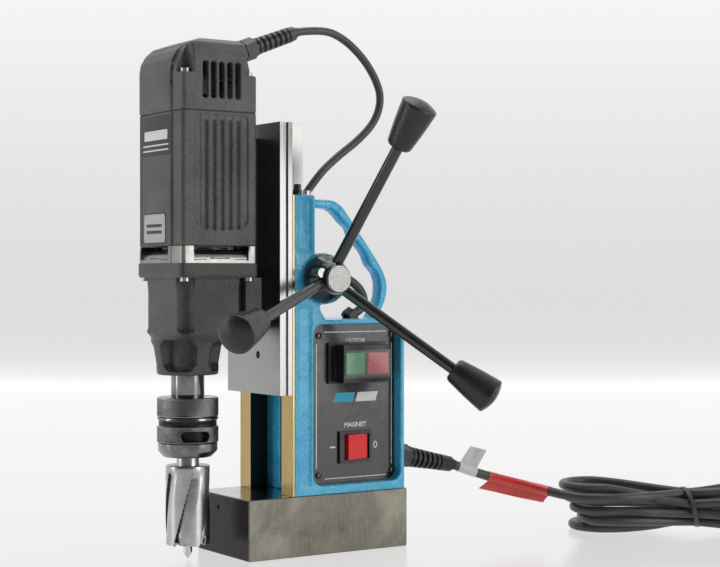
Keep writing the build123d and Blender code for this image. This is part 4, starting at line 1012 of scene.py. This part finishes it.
def make_frame():
    parts = [NODES["body_casting"].data, handle_bar()]
    mesh = remeshed("painted_frame", parts, 0.95, 3, 0.5)
    bpy.data.meshes.remove(parts[1])
    x, y, z = read_points(mesh)
    # sunk fields of the column's sides, above and below the boss of the feed shaft
    for face in (1, -1):
        side_face = np.clip((x * face - 43.0) / 0.8, 0, 1)
        upper = smooth_box(y, -32.3, -19.0, 2.0) * smooth_box(z, 257.5, 303.5, 2.4)
        lower = smooth_box(y, -32.3, -19.5, 2.4) * smooth_box(z, 59.0, 211.5, 3.0)
        x -= face * side_face * (1.5 * upper + 1.2 * lower)
    write_points(mesh, (x, y, z))
    piece = link("painted_frame", mesh, "stand", PAINT, sharp=50)
    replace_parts(piece, "body_casting", "carry_handle")


make_frame()


# ---- machined pieces ----
base_piece = softened("magnet_base", 0.9, 3, material=BASE)
# the top gets ground steel; the front face gets painted shade, a near-black colour
faced(base_piece, lambda n, c: 1 if n.z > 0.9 and c.z > 50 else 2 if n.y < -0.9 and c.y < -60 else 0,
      BASE_TOP, BASE_FRONT_SHADE)
softened("slide_plate", 0.45, 2, material=SLIDE)
for guide in ("guide_strip_left", "guide_strip_right"):
    # the inner faces of the channel get painted shade, a near-black colour for the shade between the strips
    faced(softened(guide, 0.3, 1, material=BRASS),
          lambda n, c: int(abs(n.x) > 0.6 and abs(c.x) < 32 and c.y < -19),
          plain("guide_inner_painted_shade", (0.010, 0.009, 0.006), (0.030, 0.024, 0.016), 0.2, 0.4))
for node in ("lead_ferrule", "column_screw", "motor_switch_box", "start_button", "stop_button", "window_gland"):
    softened(node, 0.35, 2, material=BY_SLOT[SLOT_OF[node]])
plug_piece = softened("mains_plug", 0.5, 2, material=BLACK)


# ---- panel markings, labels, hub and cap ----
WHITE_INK = plain("ink_white", (0.86, 0.86, 0.84), (0.93, 0.93, 0.91), 0.4, grain=700, depth=0.00001)
CYAN_INK = plain("ink_cyan", (0.02, 0.42, 0.62), (0.03, 0.50, 0.70), 0.4, grain=700, depth=0.00001)


PANEL_FACE = 35.02


def bar_mark(name, y0, y1, z0, z1, x=PANEL_FACE, body="stand", material=WHITE_INK, slant=0.0):
    """A thin printed bar on a face that looks along +x."""
    outline = [(y0, z0), (y1, z0), (y1 + slant, z1), (y0 + slant, z1)]
    rings = [[v3(x + t, y, z) for y, z in outline] for t in (0.0, 0.12)]
    return link(name, skin(name, rings), body, material, smooth=False)


def ring_mark(name, y, z, half_y, half_z, width, x=PANEL_FACE, body="stand"):
    """A thin printed ring on a face that looks along +x."""
    rings = [[v3(x + t, y + (half_y + grow) * cos(a), z + (half_z + grow) * sin(a)) for a in turns(40)]
             for grow, t in ((0, 0.0), (0, 0.12), (-width, 0.12), (-width, 0.0))]
    return link(name, skin(name, rings, True), body, WHITE_INK, smooth=False)


def word_mark(name, words, y, z, height):
    """A generic word, centred at y and z, as thin raised ink."""
    curve = bpy.data.curves.new(name, "FONT")
    curve.body = words
    curve.align_x, curve.align_y = "CENTER", "CENTER"
    curve.size = height * 1.42 * MM
    curve.extrude = 0.06 * MM
    curve.offset = 0.16 * MM
    curve.resolution_u = 3
    mesh = curve_mesh(curve)
    mesh.transform(Matrix(((0, 0, 1, (PANEL_FACE + 0.06) * MM), (1, 0, 0, y * MM), (0, 1, 0, z * MM), (0, 0, 0, 1))))
    return link(name, mesh, "stand", WHITE_INK, smooth=False)


def make_panel_marks():
    bar_mark("border_front", -8.4, -7.5, 72.0, 179.0)
    bar_mark("border_back", 69.6, 70.4, 72.0, 179.0)
    bar_mark("border_low", 0.5, 64.0, 62.4, 63.2)
    bar_mark("border_top", 0.5, 64.0, 188.6, 189.5)
    bar_mark("stripe_cyan", 9.0, 29.0, 128.4, 136.4, material=CYAN_INK, slant=2.6)
    bar_mark("stripe_white", 32.0, 53.0, 128.4, 136.4, slant=2.6)
    word_mark("word_motor", "MOTOR", 32.0, 181.2, 3.9)
    word_mark("word_magnet", "MAGNET", 31.8, 108.2, 3.9)
    bar_mark("mark_on", 5.9, 11.2, 89.0, 90.3)
    ring_mark("mark_off", 52.8, 89.9, 2.0, 3.0, 0.9)
    bar_mark("mark_start", 22.6, 23.6, 157.2, 168.0, x=50.62, body="start_button")
    ring_mark("mark_stop", 46.2, 162.0, 4.4, 4.9, 0.9, x=50.62, body="stop_button")


def front_label(name, x_span, z_span, material, lift, corner):
    """A thin label with rounded corners that follows the slight curve of the motor's front."""
    x0, x1 = x_span
    z0, z1 = z_span
    rings = []
    for k in range(41):
        f = k / 40
        x = x0 + (x1 - x0) * f
        dx = min(x - x0, x1 - x)
        trim = corner - sqrt(max(0.0, corner ** 2 - max(0.0, corner - dx) ** 2))
        y = front_face(x)
        rings.append([v3(x, y - lift, z0 + trim), v3(x, y - lift, z1 - trim), v3(x, y + 0.5, z1 - trim),
                      v3(x, y + 0.5, z0 + trim)])
    return link(name, skin(name, rings), "carriage", material, sharp=40)


def make_labels():
    """Blank plates, with bars where lettering would be: spans along x and z, material, lift and corner."""
    labels = {
        "motor_label": ((-36.0, 18.6), (337.5, 371.0), DARK_LABEL, 0.15, 2.0),
        "motor_label_bar": ((-29.0, 14.0), (350.5, 358.5), WHITE_INK, 0.22, 0.4),
        "motor_label_line_1": ((-32.0, 16.0), (345.6, 346.8), WHITE_INK, 0.22, 0.3),
        "motor_label_line_2": ((-32.0, 16.0), (341.4, 342.6), WHITE_INK, 0.22, 0.3),
        "motor_plate_edge": ((-31.0, 10.8), (264.0, 290.0), DARK_LABEL, 0.14, 2.6),
        "motor_plate": ((-29.8, 9.6), (265.2, 288.8), LABEL, 0.22, 2.0),
        "motor_plate_line_1": ((-25.0, 4.0), (278.0, 280.6), DARK_LABEL, 0.28, 0.3),
        "motor_plate_line_2": ((-25.0, 4.0), (272.6, 275.2), DARK_LABEL, 0.28, 0.3),
    }
    for name, row in labels.items():
        front_label(name, *row)


def make_cap_shape():
    """The motor's cap: the moulded shell with every edge rounded and the seam of its front cover."""
    cover = [(-139.2, 374), (-139.2, 408), (-138.0, 416), (-133.5, 423.5), (-128.0, 428.5), (-118.0, 432.6),
             (-110, 433.6), (-110, 404), (-126, 404), (-136.5, 400), (-136.5, 374)]
    front_cover = skin("front_cover", [[v3(x, y, z) for y, z in cover] for x in (-39.5, 20.0)])
    mesh = remeshed("motor_cap_shape", [NODES["motor_cap"].data, front_cover], 0.75, 9, 0.5)
    bpy.data.meshes.remove(front_cover)
    x, y, z = read_points(mesh)
    front = np.clip((FRONT + 1.6 - y) / 0.8, 0, 1)
    y += front * (2.4 * smooth_box(x, 19.6, 22.2, 0.9) * smooth_box(z, 360, 411.5, 1.2)
                  + 0.7 * smooth_box(x, 21.5, 60, 1.0) * smooth_box(z, 360, 411.5, 1.2))
    write_points(mesh, (x, y, z))
    piece = link("motor_cap_shape", mesh, "carriage", PLASTIC, sharp=50)
    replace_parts(piece, "motor_cap")


make_panel_marks()
NODES["panel_screws"].data.materials.clear()
NODES["panel_screws"].data.materials.append(BLACK_STEEL)
LABEL = plain("label_grey", (0.50, 0.51, 0.52), (0.60, 0.61, 0.62), 0.35, grain=600, depth=0.00002)
DARK_LABEL = plain("label_dark", (0.006, 0.006, 0.006), (0.012, 0.012, 0.012), 0.18, grain=600, depth=0.00002)
make_labels()
make_cap_shape()
HUB_CAP = turned_metal("steel_turned", (0.12, 0.12, 0.115), (0.40, 0.40, 0.38), 0.30, (0, -0.007, 0.235), "X", 0.0016)
SPINDLE = plain("steel_spindle", (0.10, 0.10, 0.097), (0.30, 0.30, 0.29), 0.14, 1.0, grain=400, depth=0.00001)
for node, material in (("hub_cap", HUB_CAP), ("hub_plunger", CHUCK), ("spindle", SPINDLE)):
    softened(node, 0.3, 2, material=material)
softened("feed_hub", 0.5, 2, material=BLACK_STEEL)


# ---- floor, backdrop and light ----
side = Vector((look.y, -look.x, 0)).normalized()
ahead = Vector((look.x, look.y, 0)).normalized()


def backdrop():
    """A seamless lit sweep: floor, a wide curve, and a wall, seen along the camera's direction."""
    profile = [(-2.6, 0), (2.2, 0)]
    profile += [(2.2 + 1.6 * sin(a), 1.6 - 1.6 * cos(a)) for a in map(radians, range(6, 91, 6))]
    profile += [(3.8, 4.5)]
    rings = [[ahead * d + side * w + Vector((0, 0, h - 0.0002)) for w in (-3.2, 3.2)] for d, h in profile]
    bm = bmesh.new()
    rows = [[bm.verts.new(p) for p in ring] for ring in rings]
    for low, high in zip(rows, rows[1:]):
        bm.faces.new((low[0], low[1], high[1], high[0]))
    mesh = mesh_from("backdrop", bm)
    mesh.shade_smooth()
    s = Shader("backdrop_paper", Roughness=0.2, Specular_IOR_Level=0.1, Emission_Strength=1.0)
    height = s.new("ShaderNodeSeparateXYZ")
    s.join(s.coordinates, height.inputs["Vector"])
    glow = s.ramp(s.spread(height.outputs["Z"], 0.0, 1.0, 0.0, 1.1),
                  [(0.0, (0.61, 0.61, 0.607)), (1.0, (0.89, 0.89, 0.89))])
    s.join(glow, s.shader.inputs["Emission Color"])
    s.colour(s.ramp(s.noise(1.2, 2.0), [(0.3, (0.075, 0.075, 0.075)), (0.7, (0.08, 0.08, 0.08))]))
    mesh.materials.append(s.material)
    sweep = bpy.data.objects.new("backdrop", mesh)
    bpy.context.scene.collection.objects.link(sweep)


backdrop()


def studio_world():
    """Bright at both sides and behind the object, and dark behind the camera."""
    world = bpy.data.worlds.new("studio")
    bpy.context.scene.world = world
    world.use_nodes = True
    tree = world.node_tree
    place = tree.nodes.new("ShaderNodeMapping")
    place.inputs["Location"].default_value = (0.5, 0, 0)
    place.inputs["Rotation"].default_value = (0, 0, -atan2(ahead.y, ahead.x))
    place.inputs["Scale"].default_value = (0.5, 0.5, 0.5)
    tree.links.new(tree.nodes.new("ShaderNodeTexCoord").outputs["Generated"], place.inputs["Vector"])
    across = tree.nodes.new("ShaderNodeSeparateXYZ")
    tree.links.new(place.outputs["Vector"], across.inputs["Vector"])
    shades = tree.nodes.new("ShaderNodeValToRGB")
    while len(shades.color_ramp.elements) < 4:
        shades.color_ramp.elements.new(0.5)
    tones = [(0.10, 0.10), (0.30, 0.26), (0.46, 0.60), (0.62, 0.80)]
    for element, (at, tone) in zip(shades.color_ramp.elements, tones):
        element.position = at
        element.color = (tone, tone, tone, 1)
    tree.links.new(across.outputs["X"], shades.inputs["Fac"])
    tree.links.new(shades.outputs["Color"], tree.nodes["Background"].inputs["Color"])
    tree.nodes["Background"].inputs["Strength"].default_value = 0.9


def softbox(name, place, target, size, power):
    data = bpy.data.lights.new(name, "AREA")
    data.shape = "RECTANGLE"
    data.size, data.size_y = size
    data.energy = power
    lamp = bpy.data.objects.new(name, data)
    bpy.context.scene.collection.objects.link(lamp)
    lamp.location = place
    lamp.rotation_euler = (Vector(target) - Vector(place)).to_track_quat("-Z", "Y").to_euler()


studio_world()
middle = Vector((0, 0, 0.22))
softbox("box_right", middle + Vector((1.45, 0.75, 0.35)), middle, (0.7, 1.5), 9)
softbox("box_left", middle - side * 1.2 - ahead * 0.35 + Vector((0, 0, 0.25)), middle, (0.16, 1.1), 2.4)
softbox("box_top", middle + Vector((0, 0, 1.5)) + ahead * 0.3, middle, (1.2, 1.2), 7)

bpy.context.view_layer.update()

line_length(motor_lead)
line_length(window_lead)
line_length(mains_cord)
